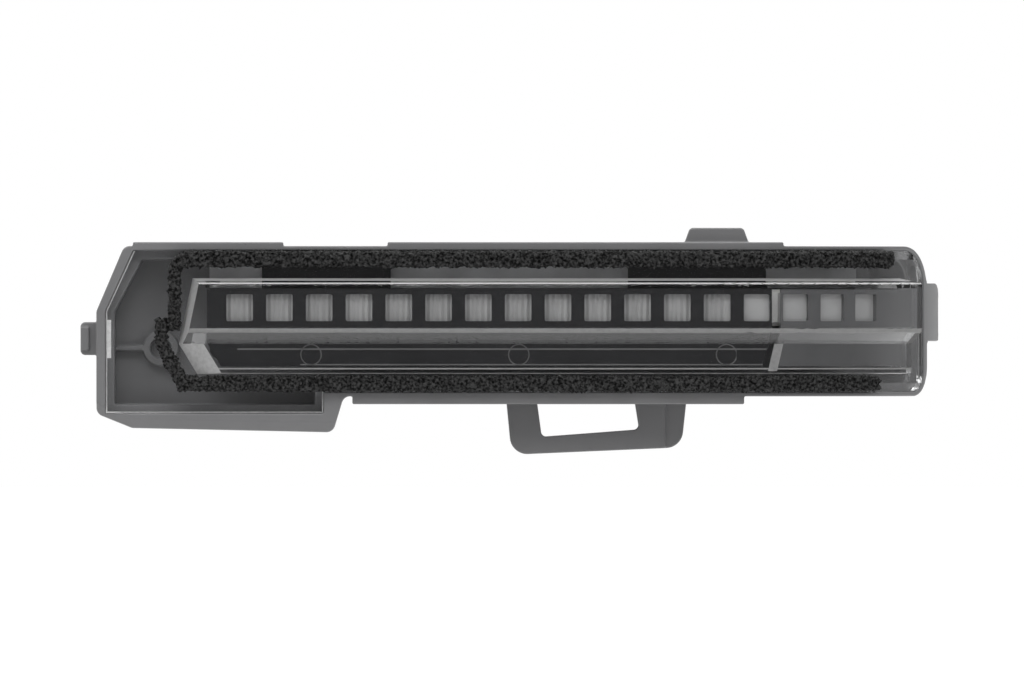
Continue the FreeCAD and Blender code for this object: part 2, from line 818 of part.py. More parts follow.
def lens_facet(body):
    """Long slope on the end of the lower step, along the line from the bar's foot to its lower corner."""
    section = [
        ("facet_low_x", f"-{FLANGE_FRONT}"),
        ("facet_low_x + facet_width", f"-{LOW_FRONT}"),
        ("left_x", f"-{LOW_FRONT}"),
        ("left_x", f"-{FLANGE_FRONT}"),
    ]
    sketch = new_sketch(body, "facet_section", "XY_Plane", ("0", "0", "tray_low_z"))
    draw_polygon(sketch, section)
    cut = pocket(body, "facet", sketch, "step_z - tray_low_z")
    cut.UseCustomVector = True
    cut.Direction = FreeCAD.Vector(number("bar_left_x - facet_low_x"), 0, number("step_z - tray_low_z"))
    bind(cut, "Direction.x", "bar_left_x - facet_low_x")
    bind(cut, "Direction.z", "step_z - tray_low_z")
    cut.AlongSketchNormal = True
    doc.recompute()


def make_lens():
    body = new_body("lens")
    plate = front_sketch(body, "plate_outline", SKIRT_FOOT, lens_outline("0"))
    pad(body, "plate", plate, "skirt_depth + flange_wall")
    plate_wrap = section_sketch(body, "plate_section", wrap_rectangle(SKIRT_FOOT, FLANGE_FRONT, "0"))
    revolve(body, "plate_wrap", plate_wrap, LENS_ANGLE)
    fillet(body, "plate_top_corner", "end_round_top - end_rim", radial_edge_at(LENS_ANGLE, LENS_TOP))
    fillet(body, "plate_low_corner", "end_round_low - end_rim", radial_edge_at(LENS_ANGLE, LENS_LOW))

    along_path(body, "bar", bar_section(), "bar_left_x", "bar_angle")
    end = [
        ("bar_top_x", "top_z"),
        ("bar_left_x", "step_z"),
        ("left_x", "step_z"),
        ("left_x", "top_z"),
    ]
    sketch = front_sketch(body, "bar_end_outline", FLANGE_FRONT, end)
    cut = pocket(body, "bar_end", sketch, BAR_FRONT, True)
    bind(cut, "TaperAngle", "end_draft")
    lens_facet(body)
    top_edge, ridge = bar_section()[1:3]
    fillet(body, "bar_top_edge", "bar_round", path_edge_at([top_edge]))
    fillet(body, "ridge", "ridge_round", path_edge_at([ridge]))

    under = front_sketch(body, "skirt_inside", SKIRT_FOOT, lens_outline("skirt_width"))
    pocket(body, "skirt", under, "skirt_depth", True)
    under_wrap = section_sketch(body, "skirt_section", wrap_rectangle(SKIRT_FOOT, FLANGE_BACK, "skirt_width"))
    groove(body, "skirt_wrap", under_wrap, f"{LENS_ANGLE} - {as_angle('skirt_width')}")

    upper = section_sketch(body, "upper_hollow_section", bar_hollow_upper())
    pocket(body, "upper_hollow", upper, "bend_x - inner_end_x")
    groove(body, "upper_hollow_wrap", upper, BAR_INNER_ANGLE)
    low_top = f"step_z + lens_wall * {MITRE}"
    low_foot = "bar_low_z + lens_wall"
    low = [
        ("inner_end_x", low_top),
        ("inner_end_x", "facet_inner_z"),
        ("facet_inner_x", low_foot),
        ("bend_x", low_foot),
        ("bend_x", low_top),
    ]
    low_sketch = front_sketch(body, "lower_hollow_outline", FLANGE_BACK, low)
    pocket(body, "lower_hollow", low_sketch, f"{LOW_FRONT} - lens_wall - {FLANGE_BACK}", True)
    low_wrap = section_sketch(body, "lower_hollow_section",
                              box_points(FLANGE_BACK, f"{LOW_FRONT} - lens_wall", low_foot, low_top))
    groove(body, "lower_hollow_wrap", low_wrap, BAR_INNER_ANGLE)
    return body


def mask_section():
    """Upper plate, slope and lower panel of a mask, all of one wall."""
    bend = f"(lens_wall + mask_gap) * {MITRE}"
    back = f"(lens_wall + mask_gap + mask_wall) * {MITRE}"
    return [
        (MASK_FACE, MASK_TOP),
        (MASK_FACE, f"ridge_z + {bend}"),
        (PANEL_FACE, f"step_z + {bend}"),
        (PANEL_FACE, PANEL_LOW),
        (PANEL_BACK, PANEL_LOW),
        (PANEL_BACK, f"step_z + {back}"),
        (MASK_BACK, f"ridge_z + {back}"),
        (MASK_BACK, MASK_TOP),
    ]


def wing_section():
    """Return along a mask's top edge, and the wing that stands up behind the lens flange."""
    return [
        (MASK_BACK, f"{MASK_TOP} - wing_return"),
        (WING_BACK, f"{MASK_TOP} - wing_return"),
        (WING_BACK, "wing_top_z"),
        (WING_FRONT, "wing_top_z"),
        (WING_FRONT, MASK_TOP),
        (MASK_BACK, MASK_TOP),
    ]


def window_points(x, z):
    return centred_points(x, z, "window_width", "window_height")


def make_main_mask():
    body = new_body("main_mask")
    along_path(body, "plate", mask_section(), MASK_LEFT, MAIN_ANGLE)
    along_path(body, "right_wing", wing_section(), "wing_right_x", MAIN_ANGLE)
    wing = new_sketch(body, "left_wing_section", "YZ_Plane", ("0", "0", "wing_left_x"))
    draw_polygon(wing, [(f"-({depth})", z) for depth, z in wing_section()])
    pad(body, "left_wing", wing, "wing_length")
    corner = [
        (MASK_LEFT, "facet_inner_z + mask_clearance"),
        ("facet_inner_x + mask_clearance", PANEL_LOW),
        (MASK_LEFT, PANEL_LOW),
    ]
    pocket(body, "facet", front_sketch(body, "facet_outline", PANEL_FACE, corner), "mask_wall")
    foot = [("0", "step_z"), ("0", PANEL_LOW), ("-joint_slant", PANEL_LOW)]
    sketch = turned_sketch(body, "slant_outline", PANEL_FACE, MAIN_ANGLE, foot)
    pocket(body, "slant", sketch, "through_cut").Midplane = True
    sketch = front_sketch(body, "window_outline", MASK_FACE, window_points("first_window_x", "light_z"))
    window = pocket(body, "window", sketch, "through_cut")
    row(body, "windows", [window], sketch, "window_pitch", "straight_windows")
    turned = window_points("0", "light_z")
    sketch = turned_sketch(body, "turned_window_outline", MASK_FACE, TURNED_WINDOW, turned)
    pocket(body, "turned_window", sketch, "through_cut").Midplane = True

    ring = front_sketch(body, "ring_outline", PANEL_FACE)
    draw_circle(ring, ("ring_x", "ring_z"), "ring_radius")
    draw_circle(ring, ("ring_x", "ring_z"), "ring_radius - ring_line")
    mark = pocket(body, "ring", ring, "ring_sink")
    row(body, "rings", [mark], ring, "ring_pitch", "ring_count")
    return body


def make_side_mask():
    body = new_body("side_mask")
    section = section_sketch(body, "plate_section", mask_section(), SIDE_ANGLE)
    revolve(body, "plate", section, f"{SIDE_END_ANGLE} - {SIDE_ANGLE}")
    angle = f"({TURNED_WINDOW} + {PITCH_ANGLE})"
    sketch = turned_sketch(body, "window_outline", MASK_FACE, angle, window_points("0", "light_z"))
    window = pocket(body, "window", sketch, "through_cut")
    window.Midplane = True
    fan(body, "windows", [window], section, PITCH_ANGLE, "side_windows")
    return body


def diffuser_section():
    return box_points(DIFFUSER_BACK, MASK_BACK, OPTIC_LOW, OPTIC_TOP)


def make_main_diffuser():
    """Bar with upright flutes across its front, a whole number of them for each window."""
    body = new_body("main_diffuser")
    along_path(body, "bar", diffuser_section(), CELLS_LEFT, MAIN_ANGLE)
    pitch = "window_pitch / flutes_per_window"
    sketch = new_sketch(body, "flute_outline", "XY_Plane", ("0", "0", OPTIC_LOW))
    draw_polygon(sketch, [
        (CELLS_LEFT, f"-{MASK_BACK}"),
        (f"{CELLS_LEFT} + {pitch}", f"-{MASK_BACK}"),
        (f"{CELLS_LEFT} + {pitch} / 2", f"flute_sink - {MASK_BACK}"),
    ])
    flute = pocket(body, "flute", sketch, "optic_height", True)
    row(body, "flutes", [flute], sketch, pitch, "straight_windows * flutes_per_window - 2")
    return body


def make_side_diffuser():
    body = new_body("side_diffuser")
    section = section_sketch(body, "bar_section", diffuser_section(), SIDE_ANGLE)
    revolve(body, "bar", section, f"{SIDE_END_ANGLE} - {SIDE_ANGLE}")
    return body


def make_light_cells():
    """White comb with one cell behind each window."""
    body = new_body("light_cells")
    section = box_points(FLEX_FRONT, DIFFUSER_BACK, OPTIC_LOW, OPTIC_TOP)
    axis = along_path(body, "comb", section, CELLS_LEFT, CELLS_ANGLE)
    cell = centred_points("first_window_x", "light_z", "cell_width", "cell_height")
    sketch = front_sketch(body, "cell_outline", DIFFUSER_BACK, cell)
    straight = pocket(body, "cell", sketch, "cell_depth")
    row(body, "cells", [straight], sketch, "window_pitch", "straight_windows")
    cell = centred_points("0", "light_z", "cell_width", "cell_height")
    sketch = turned_sketch(body, "turned_cell_outline", DIFFUSER_BACK, TURNED_WINDOW, cell)
    turned = pocket(body, "turned_cell", sketch, "through_cut")
    turned.Midplane = True
    fan(body, "turned_cells", [turned], axis, PITCH_ANGLE, "side_windows + 1")
    return body


def make_leds():
    """One LED for each cell, with a square cup in its face."""
    body = new_body("leds")
    led = centred_points("first_window_x", "light_z", "led_width", "led_height")
    sketch = front_sketch(body, "led_outline", FLEX_FRONT, led)
    block = pad(body, "led", sketch, "led_rise")
    cup_sketch = front_sketch(body, "cup_outline", f"{FLEX_FRONT} + led_rise")
    draw_polygon(cup_sketch, centred_points("first_window_x", "light_z", "led_cup", "led_cup"))
    cup = pocket(body, "cup", cup_sketch, "led_cup_sink")
    row(body, "straight_leds", [block, cup], sketch, "window_pitch", "straight_windows")
    led = centred_points("0", "light_z", "led_width", "led_height")
    sketch = turned_sketch(body, "turned_led_outline", f"{FLEX_FRONT} + fit_gap", TURNED_WINDOW, led)
    block = pad(body, "turned_led", sketch, "led_rise")
    depth = f"({FLEX_FRONT} + fit_gap + led_rise)"
    cup_sketch = turned_sketch(body, "turned_cup_outline", depth, TURNED_WINDOW)
    draw_polygon(cup_sketch, centred_points("0", "light_z", "led_cup", "led_cup"))
    cup = pocket(body, "turned_cup", cup_sketch, "led_cup_sink")
    axis = section_sketch(body, "axis", box_points("0", "led_rise", "0", "led_rise"))
    fan(body, "turned_leds", [block, cup], axis, PITCH_ANGLE, "side_windows + 1")
    return body


def make_led_strip():
    body = new_body("led_strip")
    section = box_points(CARRIER_FRONT, FLEX_FRONT, FLEX_LOW, f"{FLEX_LOW} + flex_height")
    along_path(body, "strip", section, CELLS_LEFT, CELLS_ANGLE)
    return body


def make_strip_carrier():
    """Rib behind the LED strip, with a drilled lug over each boss."""
    body = new_body("strip_carrier")
    section = box_points(BOSS_FRONT, CARRIER_FRONT, "carrier_low_z", "carrier_top_z")
    along_path(body, "rib", section, "lug_x - lug_radius", CELLS_ANGLE)
    arm = box_points("lug_x - lug_radius", "lug_x + lug_radius", "lug_z", "carrier_low_z")
    sketch = front_sketch(body, "arm_outline", BOSS_FRONT, arm)
    arm = pad(body, "arm", sketch, "carrier_wall")
    round_sketch = front_sketch(body, "lug_outline", BOSS_FRONT)
    draw_circle(round_sketch, ("lug_x", "lug_z"), "lug_radius")
    lug = pad(body, "lug", round_sketch, "carrier_wall")
    hole_sketch = front_sketch(body, "hole_outline", CARRIER_FRONT)
    draw_circle(hole_sketch, ("lug_x", "lug_z"), "screw_hole")
    hole = pocket(body, "hole", hole_sketch, "carrier_wall")
    row(body, "lugs", [arm, lug, hole], sketch, "lug_pitch", "lug_count")
    return body


def screw_features(body, seat, through, places):
    """Hexagon screws at places: heads on the seat, shanks through a wall and into the boss below."""
    heads = front_sketch(body, "head_outline", seat)
    shanks = front_sketch(body, "shank_outline", seat)
    for x, z in places:
        corners = [(f"{x} + screw_head * cos({turn})", f"{z} + screw_head * sin({turn})")
                   for turn in range(0, 360, 60)]
        draw_polygon(heads, corners)
        draw_circle(shanks, (x, z), "screw_radius")
    head = pad(body, "head", heads, "screw_head_rise")
    shank = pad(body, "shank", shanks, f"{through} + screw_grip - fit_gap", True)
    return heads, [head, shank]


def make_carrier_screws():
    body = new_body("carrier_screws")
    sketch, features = screw_features(body, CARRIER_FRONT, "carrier_wall", [("lug_x", "lug_z")])
    row(body, "screws", features, sketch, "lug_pitch", "lug_count")
    return body


def make_driver_board():
    body = new_body("driver_board")
    outline = box_points("board_left_x", "board_right_x", "board_low_z", "board_top_z")
    pad(body, "board", front_sketch(body, "board_outline", BOARD_BACK, outline), "board_wall")
    holes = front_sketch(body, "hole_outline", BOARD_FRONT)
    for place in BOARD_FIXINGS:
        draw_circle(holes, place, "screw_hole")
    pocket(body, "holes", holes, "board_wall")
    return body


def make_board_screws():
    body = new_body("board_screws")
    screw_features(body, BOARD_FRONT, "board_wall", BOARD_FIXINGS)
    return body


def board_row(label, width, length, spacing=None, count=None):
    """One part on the front of the board, or a row of them."""
    body = new_body(f"board_{label}s" if count else label)
    outline = centred_points(f"{label}_x", f"{label}_z", width, length)
    sketch = front_sketch(body, "outline", BOARD_FRONT, outline)
    block = pad(body, "block", sketch, f"{label}_rise")
    if count:
        row(body, "blocks", [block], sketch, spacing, count)
    return body


def make_driver_chip():
    body = new_body("driver_chip")
    outline = centred_points("chip_x", "chip_z", "chip_width", "chip_width")
    pad(body, "block", front_sketch(body, "outline", BOARD_FRONT, outline), "chip_rise")
    return body


def make_board_resistors():
    return board_row("resistor", "resistor_width", "resistor_length", "resistor_pitch", "resistor_count")


def make_board_capacitors():
    return board_row("capacitor", "capacitor_width", "capacitor_length", "capacitor_pitch", "capacitor_count")


def make_protection_diode():
    body = new_body("protection_diode")
    outline = centred_points("diode_x", "diode_z", "diode_width", "diode_length")
    pad(body, "block", front_sketch(body, "outline", BOARD_FRONT, outline), "diode_rise")
    return body


def make_ribbon_connector():
    body = new_body("ribbon_connector")
    width = "(ribbon_width + 2 * ribbon_plug_margin)"
    outline = centred_points("ribbon_x", "ribbon_plug_z", width, "ribbon_plug_length")
    pad(body, "block", front_sketch(body, "outline", BOARD_FRONT, outline), "ribbon_plug_rise")
    return body


def make_ribbon_tail():
    """Flat tail that leaves the LED strip, bends back and enters the connector on the board."""
    body = new_body("ribbon_tail")
    plug_top = "ribbon_plug_z + ribbon_plug_length / 2"
    plug_middle = f"({BOARD_FRONT} + ribbon_plug_rise / 2)"
    points = [
        (FLEX_FRONT, FLEX_LOW),
        (FLEX_FRONT, f"{FLEX_LOW} - ribbon_bend"),
        (f"{plug_middle} + ribbon_wall / 2", plug_top),
        (f"{plug_middle} - ribbon_wall / 2", plug_top),
        (CARRIER_FRONT, f"{FLEX_LOW} - ribbon_bend + ribbon_wall"),
        (CARRIER_FRONT, FLEX_LOW),
    ]
    place = ("0", "0", "ribbon_x - ribbon_width / 2")
    sketch = new_sketch(body, "tail_section", "YZ_Plane", place)
    draw_polygon(sketch, [(f"-({depth})", z) for depth, z in points])
    pad(body, "tail", sketch, "ribbon_width")
    return body


def make_socket_pins():
    body = new_body("socket_pins")
    first = "socket_x - (pin_count - 1) * pin_pitch / 2"
    sketch = front_sketch(body, "pin_outline", BOARD_BACK,
                          centred_points(first, "socket_z", "pin_width", "pin_width"))
    pin = pad(body, "pin", sketch, f"{BOARD_BACK} + pin_reach", True)
    row(body, "pins", [pin], sketch, "pin_pitch", "pin_count")
    return body


def make_vent_patch():
    body = new_body("vent_patch")
    sketch = front_sketch(body, "patch_outline", "vent_sink")
    draw_circle(sketch, ("vent_x", "vent_z"), "vent_radius")
    pad(body, "patch", sketch, "vent_wall", True)
    return body


def round_foam_end(body, angle, low, top):
    """Round both corners of a strip where it ends on the wrap."""
    fillet(body, "end_low_corner", "foam_end_round", radial_edge_at(angle, low))
    fillet(body, "end_top_corner", "foam_end_round", radial_edge_at(angle, top))


def make_upper_foam():
    """Strip along the top edge of the lens, turned down beside the end of the bar."""
    body = new_body("upper_foam")
    top = f"{LENS_TOP} - foam_gap"
    low = f"{LENS_TOP} - foam_gap - upper_foam_width"
    inner = "upper_foam_left_x + upper_foam_turn"
    outline = [
        ("upper_foam_left_x", top),
        ("upper_foam_left_x", "upper_foam_low_z"),
        (inner, "upper_foam_low_z"),
        (inner, low),
        ("bend_x", low),
        ("bend_x", top),
    ]
    pad(body, "strip", front_sketch(body, "strip_outline", FLANGE_FRONT, outline), "foam_wall")
    section = section_sketch(body, "strip_section",
                             box_points(FLANGE_FRONT, f"{FLANGE_FRONT} + foam_wall", low, top))
    revolve(body, "strip_wrap", section, "upper_foam_angle")
    fillet(body, "outer_corner", "upper_foam_round", depth_edge_at([("upper_foam_left_x", top)]))
    fillet(body, "inner_corner", "foam_inner_round", depth_edge_at([(inner, low)]))
    round_foam_end(body, "upper_foam_angle", low, top)
    return body


def make_lower_foam():
    """Strip along the lower edge of the lens, turned up round the facet of the bar."""
    body = new_body("lower_foam")
    low = f"{LENS_LOW} + foam_gap"
    top = f"{LENS_LOW} + foam_gap + lower_foam_width"
    outer = "lower_foam_left_x"
    inner = "lower_foam_left_x + lower_foam_turn"
    outline = [
        (outer, "lower_foam_top_z"),
        (outer, "lower_foam_knee_z"),
        ("lower_foam_heel_x", low),
        ("bend_x", low),
        ("bend_x", top),
        ("lower_foam_heel_x + lower_foam_width / 2", top),
        (inner, "lower_foam_knee_z + lower_foam_width / 4"),
        (inner, "lower_foam_top_z"),
    ]
    pad(body, "strip", front_sketch(body, "strip_outline", FLANGE_FRONT, outline), "foam_wall")
    section = section_sketch(body, "strip_section",
                             box_points(FLANGE_FRONT, f"{FLANGE_FRONT} + foam_wall", low, top))
    revolve(body, "strip_wrap", section, "lower_foam_angle")
    round_foam_end(body, "lower_foam_angle", low, top)
    return body


PIECES = [
    make_housing,
    make_lens,
    make_main_mask,
    make_side_mask,
    make_main_diffuser,
    make_side_diffuser,
    make_light_cells,
    make_leds,
    make_led_strip,
    make_strip_carrier,
    make_carrier_screws,
    make_driver_board,
    make_board_screws,
    make_driver_chip,
    make_board_resistors,
    make_board_capacitors,
    make_protection_diode,
    make_ribbon_connector,
    make_ribbon_tail,
    make_socket_pins,
    make_vent_patch,
    make_upper_foam,
    make_lower_foam,
]


def failed(thing):
    return any(word in thing.State for word in ("Invalid", "Error"))


def main():
    fill_sheet()
    nodes = [make() for make in PIECES]
    doc.recompute()
    broken = [thing.Name for thing in doc.Objects if failed(thing)]
    if broken:
        raise RuntimeError(f"failed: {broken}")
    for node in nodes:
        if node.Shape.isNull() or not node.Shape.isValid():
            raise RuntimeError(f"bad shape: {node.Label}")
    os.makedirs("parts", exist_ok=True)
    for node in nodes:
        node.Shape.exportStep(f"parts/{node.Label}.step")
        print(node.Label, len(node.Shape.Solids), round(node.Shape.Volume, 1))


main()
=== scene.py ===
"""Looks of the mirror light: finishes, smooth shells, foam strips and the studio round them."""

import math
from contextlib import contextmanager

import bmesh
import bpy
from bpy.props import FloatProperty, FloatVectorProperty, IntProperty, PointerProperty
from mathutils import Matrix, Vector


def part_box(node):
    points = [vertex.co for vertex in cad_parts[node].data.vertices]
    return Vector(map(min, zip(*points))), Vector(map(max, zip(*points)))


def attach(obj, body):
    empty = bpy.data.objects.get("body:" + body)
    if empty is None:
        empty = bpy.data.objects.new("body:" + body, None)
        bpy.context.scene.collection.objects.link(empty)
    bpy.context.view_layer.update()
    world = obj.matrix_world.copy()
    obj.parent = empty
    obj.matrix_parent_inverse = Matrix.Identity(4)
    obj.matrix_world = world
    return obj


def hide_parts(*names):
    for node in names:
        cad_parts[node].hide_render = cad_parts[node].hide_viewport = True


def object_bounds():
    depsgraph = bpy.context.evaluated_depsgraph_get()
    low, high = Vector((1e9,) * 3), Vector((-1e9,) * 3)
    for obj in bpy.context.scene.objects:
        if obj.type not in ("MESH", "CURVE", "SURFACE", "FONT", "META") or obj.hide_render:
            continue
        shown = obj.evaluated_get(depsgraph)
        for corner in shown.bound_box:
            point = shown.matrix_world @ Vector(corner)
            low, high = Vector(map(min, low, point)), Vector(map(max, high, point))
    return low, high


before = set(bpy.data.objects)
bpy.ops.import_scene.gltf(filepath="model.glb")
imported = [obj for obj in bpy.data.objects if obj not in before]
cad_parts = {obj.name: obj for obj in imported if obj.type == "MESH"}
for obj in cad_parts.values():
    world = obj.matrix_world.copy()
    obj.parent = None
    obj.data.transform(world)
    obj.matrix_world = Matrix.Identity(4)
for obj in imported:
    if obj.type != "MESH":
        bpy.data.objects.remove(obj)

bl_info = {
    "name": "Mirror light",
    "version": (1, 0, 0),
    "blender": (4, 5, 0),
    "location": "3D View > Sidebar > Mirror light",
    "description": "Dresses the parts of a door-mirror turn signal and sets up its studio",
    "category": "Object",
}

CAD_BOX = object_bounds()
BODY = "root"
MILLIMETRE = 0.001
IMAGE_WIDTH, IMAGE_HEIGHT = 1024, 683

# How near is near enough to be the same point, plane or direction.
SAME_POINT = 0.002 * MILLIMETRE
CLOSE = 0.02 * MILLIMETRE
FACET_SAG = 0.05 * MILLIMETRE
WHOLE_FACE = math.radians(0.05)
SAME_PLANE = math.cos(math.radians(0.1))
SHARP_EDGE = math.radians(35)
SMOOTH_TURN = math.radians(28)
FACING = 0.9
THROUGH = 0.7
ACROSS, UPRIGHT = Vector((1, 0, 0)), Vector((0, 0, 1))

# The lamp's path, and depths in front of the flat back, in metres.
BEND_X = 29.6 * MILLIMETRE
BEND_AXIS = 38.4 * MILLIMETRE
FLANGE_DEPTH = 14.7 * MILLIMETRE
PANEL_DEPTH = 15.6 * MILLIMETRE
STEP_DEPTH = 18.0 * MILLIMETRE

# Rounds, chamfers and half the height of a light window, in metres, and the steps in a round.
EDGE_ROUND = 0.00035
WINDOW_ROUND = 0.0004
WINDOW_HALF = 3.1 * MILLIMETRE
LENS_CHAMFER = 0.3 * MILLIMETRE
ROUND_STEPS = 3

# Round marks in the mask's lower panel: their number, and their places and sizes in metres.
RING_COUNT = 3
RING_PITCH = 47.8 * MILLIMETRE
RING_X = -63.6 * MILLIMETRE
RING_Z = 14.8 * MILLIMETRE
RING_RADIUS = 2.35 * MILLIMETRE
RING_LINE = 0.2 * MILLIMETRE
RING_FLOOR = 15.4 * MILLIMETRE

# Painted highlight lines and the frosted end on the lens, and the black part of the carrier: places in
# millimetres, and how the faces slope.
FROST_REACH = -74.0
FROST_SLOPE = -0.3
RIDGE_LOW, RIDGE_TOP = 19.5, 20.9
RIDGE_STEEP, RIDGE_LEVEL = -0.68, -0.03
TOP_EDGE_LOW, TOP_EDGE_TOP = 30.6, 31.4
TOP_EDGE_LEVEL, TOP_EDGE_STEEP = 0.45, 0.95
WALL_FOOT_LOW, WALL_FOOT_TOP = 31.8, 32.6
STEP_FOOT_LOW, STEP_FOOT_TOP = 10.3, 10.65
STEP_LINE_LOW, STEP_LINE_TOP = 11.4, 11.75
CHAMFER_STEEP, CHAMFER_LEVEL = 0.6, 0.8
LATCH_LEFT, LATCH_RIGHT = -110.5, -109.6
LATCH_LOW, LATCH_TOP = 14.0, 22.8
JOINT_LEFT, JOINT_RIGHT = 43.1, 45.2
JOINT_LOW, JOINT_TOP = 11.0, 17.9
JOINT_LEAN = Vector((6.9, 0, -1.6)).normalized()
CARRIER_BLACK_TOP = 31.6

# Lines in the mask's lower panel: bottom, top and left end of each, in millimetres.
PANEL_LINES = ((15.9, 16.25, -80.6), (12.35, 12.65, -66.1))

# Finishes: optical index, sizes of the lumps in metres, and how much the gloss varies.
LENS_INDEX = 1.58
CLOUD_SIZE = 0.012
GLOSS_PATCH = 0.004
GLOSS_LEAST, GLOSS_MOST = 0.8, 1.25
SKIN_STRENGTH = 0.5

# Material slots of the lens, the second and third of them for painted highlights, and of the pieces with a
# second finish.
FROSTED, BRIGHT_PAINTED_HIGHLIGHT, SOFT_PAINTED_HIGHLIGHT = 1, 2, 3
SECOND_FINISH = 1

# Camera: width of the sensor in millimetres, and the nearest that it sees in metres.
CAMERA_SENSOR, CAMERA_NEAREST = 36.0, 0.01

# Place and size of each lamp, in metres.
LAMPS = {
    "key": ((-0.25, -0.8, 0.85), (1.6, 0.6)),
    "fill": ((0.8, -0.7, 0.7), (0.6, 0.6)),
    "rim": ((0.3, 0.5, 0.9), (1.0, 0.4)),
}

# Where gloss sees the background dim, as parts of a direction along Y and X.
DIM_FRONT, BRIGHT_BACK = -0.75, 0.1
BRIGHT_MIDDLE, DIM_RIGHT = 0.2, 0.9
BEFORE_BOUNCE = 0.5

# Floor: where it dims along Y and how far it reaches, in metres, and its tones and glow.
FLOOR_DIM, FLOOR_BRIGHT = -0.3, 0.1
FLOOR_REACH = 12.0
FLOOR_CLOUD = 0.4
FLOOR_ROUGHNESS, FLOOR_SHEEN = 0.9, 0.1
FLOOR_DARK, FLOOR_PALE = (0.86, 0.86, 0.86), (0.9, 0.9, 0.9)
FLOOR_GLOW, FLOOR_GLOW_SHARE = 1.25, 0.75


class MirrorLightStage(bpy.types.PropertyGroup):
    """Camera, lamps and background."""
    distance: FloatProperty(name="Distance", description="Camera to the lens", default=6.0, unit="LENGTH")
    pixel: FloatProperty(name="Pixel size", description="Real width of one pixel at the lens",
                         default=0.00023, precision=6, unit="LENGTH")
    origin_column: FloatProperty(name="Origin column", description="Column of the photo at X = 0",
                                 default=587.5)
    origin_row: FloatProperty(name="Origin row", description="Row of the photo at Z = 0", default=419.0)
    lens_depth: FloatProperty(name="Lens depth", description="Depth of the plane that sets the scale",
                              default=0.017, unit="LENGTH")
    elevation: FloatProperty(name="Elevation", description="Camera above the horizon", default=0.0,
                             subtype="ANGLE")
    floor_drop: FloatProperty(name="Floor drop", description="Floor below the lowest point", default=0.075,
                              unit="LENGTH")
    room_light: FloatProperty(name="Room light", description="Even light from all round", default=0.62)
    front_light: FloatProperty(name="Front light", description="What gloss sees behind the camera",
                               default=0.06)
    side_light: FloatProperty(name="Side light", description="What gloss sees at the right", default=0.3)
    key_power: FloatProperty(name="Key power", description="Wide soft lamp above the front", default=11.0,
                             unit="POWER")
    fill_power: FloatProperty(name="Fill power", description="Soft lamp at the upper right", default=0.5,
                              unit="POWER")
    rim_power: FloatProperty(name="Rim power", description="Strip lamp above and behind", default=5.0,
                             unit="POWER")


class MirrorLightFinish(bpy.types.PropertyGroup):
    """Colours of the finishes."""
    housing: FloatVectorProperty(name="Housing", description="Grey moulding", subtype="COLOR",
                                 default=(0.145, 0.145, 0.148))
    lens: FloatVectorProperty(name="Lens", description="Clear moulding", subtype="COLOR",
                              default=(0.97, 0.975, 0.98))
    frost: FloatVectorProperty(name="Frosted end", description="Matt end of the light bar",
                               subtype="COLOR", default=(0.5, 0.5, 0.5))
    # Pale tone that paints highlights as bright lines along the light bar.
    line: FloatVectorProperty(name="Painted highlight lines", description="Bright lines along the light bar",
                              subtype="COLOR", default=(0.7, 0.7, 0.7))
    # Softer painted highlights on the ridge and low on the step, also used for the strip before the masks'
    # joint.
    ridge: FloatVectorProperty(name="Ridge", description="Softer lines on the ridge and at the joint",
                               subtype="COLOR", default=(0.3, 0.3, 0.3))
    mask: FloatVectorProperty(name="Mask", description="Black moulding", subtype="COLOR",
                              default=(0.016, 0.016, 0.017))
    ring: FloatVectorProperty(name="Rings", description="Round marks and lines in the mask's lower panel",
                              subtype="COLOR", default=(0.09, 0.09, 0.09))
    side_mask: FloatVectorProperty(name="Side mask", description="Grey moulding round the wrap",
                                   subtype="COLOR", default=(0.075, 0.075, 0.077))
    diffuser: FloatVectorProperty(name="Diffuser", description="Milky moulding", subtype="COLOR",
                                  default=(0.27, 0.27, 0.27))
    foam: FloatVectorProperty(name="Foam", description="Black crumbed foam", subtype="COLOR",
                              default=(0.005, 0.005, 0.005))


class MirrorLightFoam(bpy.types.PropertyGroup):
    """Grain of the foam strips."""
    voxel: FloatProperty(name="Voxel", description="Mesh size of the strips", default=0.00032, precision=6,
                         unit="LENGTH")
    grain: FloatProperty(name="Grain", description="Width of one crumb", default=0.00095, precision=6,
                         unit="LENGTH")
    rough: FloatProperty(name="Roughness", description="How far the crumbs stand out", default=0.0013,
                         precision=6, unit="LENGTH")
    seed: IntProperty(name="Seed", description="Seed of the crumbs", default=7)


def settings():
    """Stage, finishes and foam as the user has set them."""
    scene = bpy.context.scene
    return scene.mirror_light_stage, scene.mirror_light_finish, scene.mirror_light_foam


def new_material(name):
    """Empty material with a principled shader: returns the material, its nodes and the shader."""
    material = bpy.data.materials.new(name)
    material.use_nodes = True
    tree = material.node_tree
    shader = next(node for node in tree.nodes if node.type == "BSDF_PRINCIPLED")
    return material, tree, shader


def object_coordinates(tree, scale=(1, 1, 1)):
    """Object coordinates, stretched by scale."""
    source = tree.nodes.new("ShaderNodeTexCoord")
    mapping = tree.nodes.new("ShaderNodeMapping")
    mapping.inputs["Scale"].default_value = scale
    tree.links.new(source.outputs["Object"], mapping.inputs["Vector"])
    return mapping.outputs["Vector"]


def noise(tree, vector, size, detail=4.0):
    """Cloudy value between 0 and 1 whose lumps are about size metres wide."""
    texture = tree.nodes.new("ShaderNodeTexNoise")
    texture.inputs["Scale"].default_value = 1 / size
    texture.inputs["Detail"].default_value = detail
    tree.links.new(vector, texture.inputs["Vector"])
    return texture.outputs["Fac"]


def spread(tree, value, low, high):
    """Value from 0..1 brought into low..high."""
    node = tree.nodes.new("ShaderNodeMapRange")
    node.inputs["To Min"].default_value = low
    node.inputs["To Max"].default_value = high
    tree.links.new(value, node.inputs["Value"])
    return node.outputs["Result"]


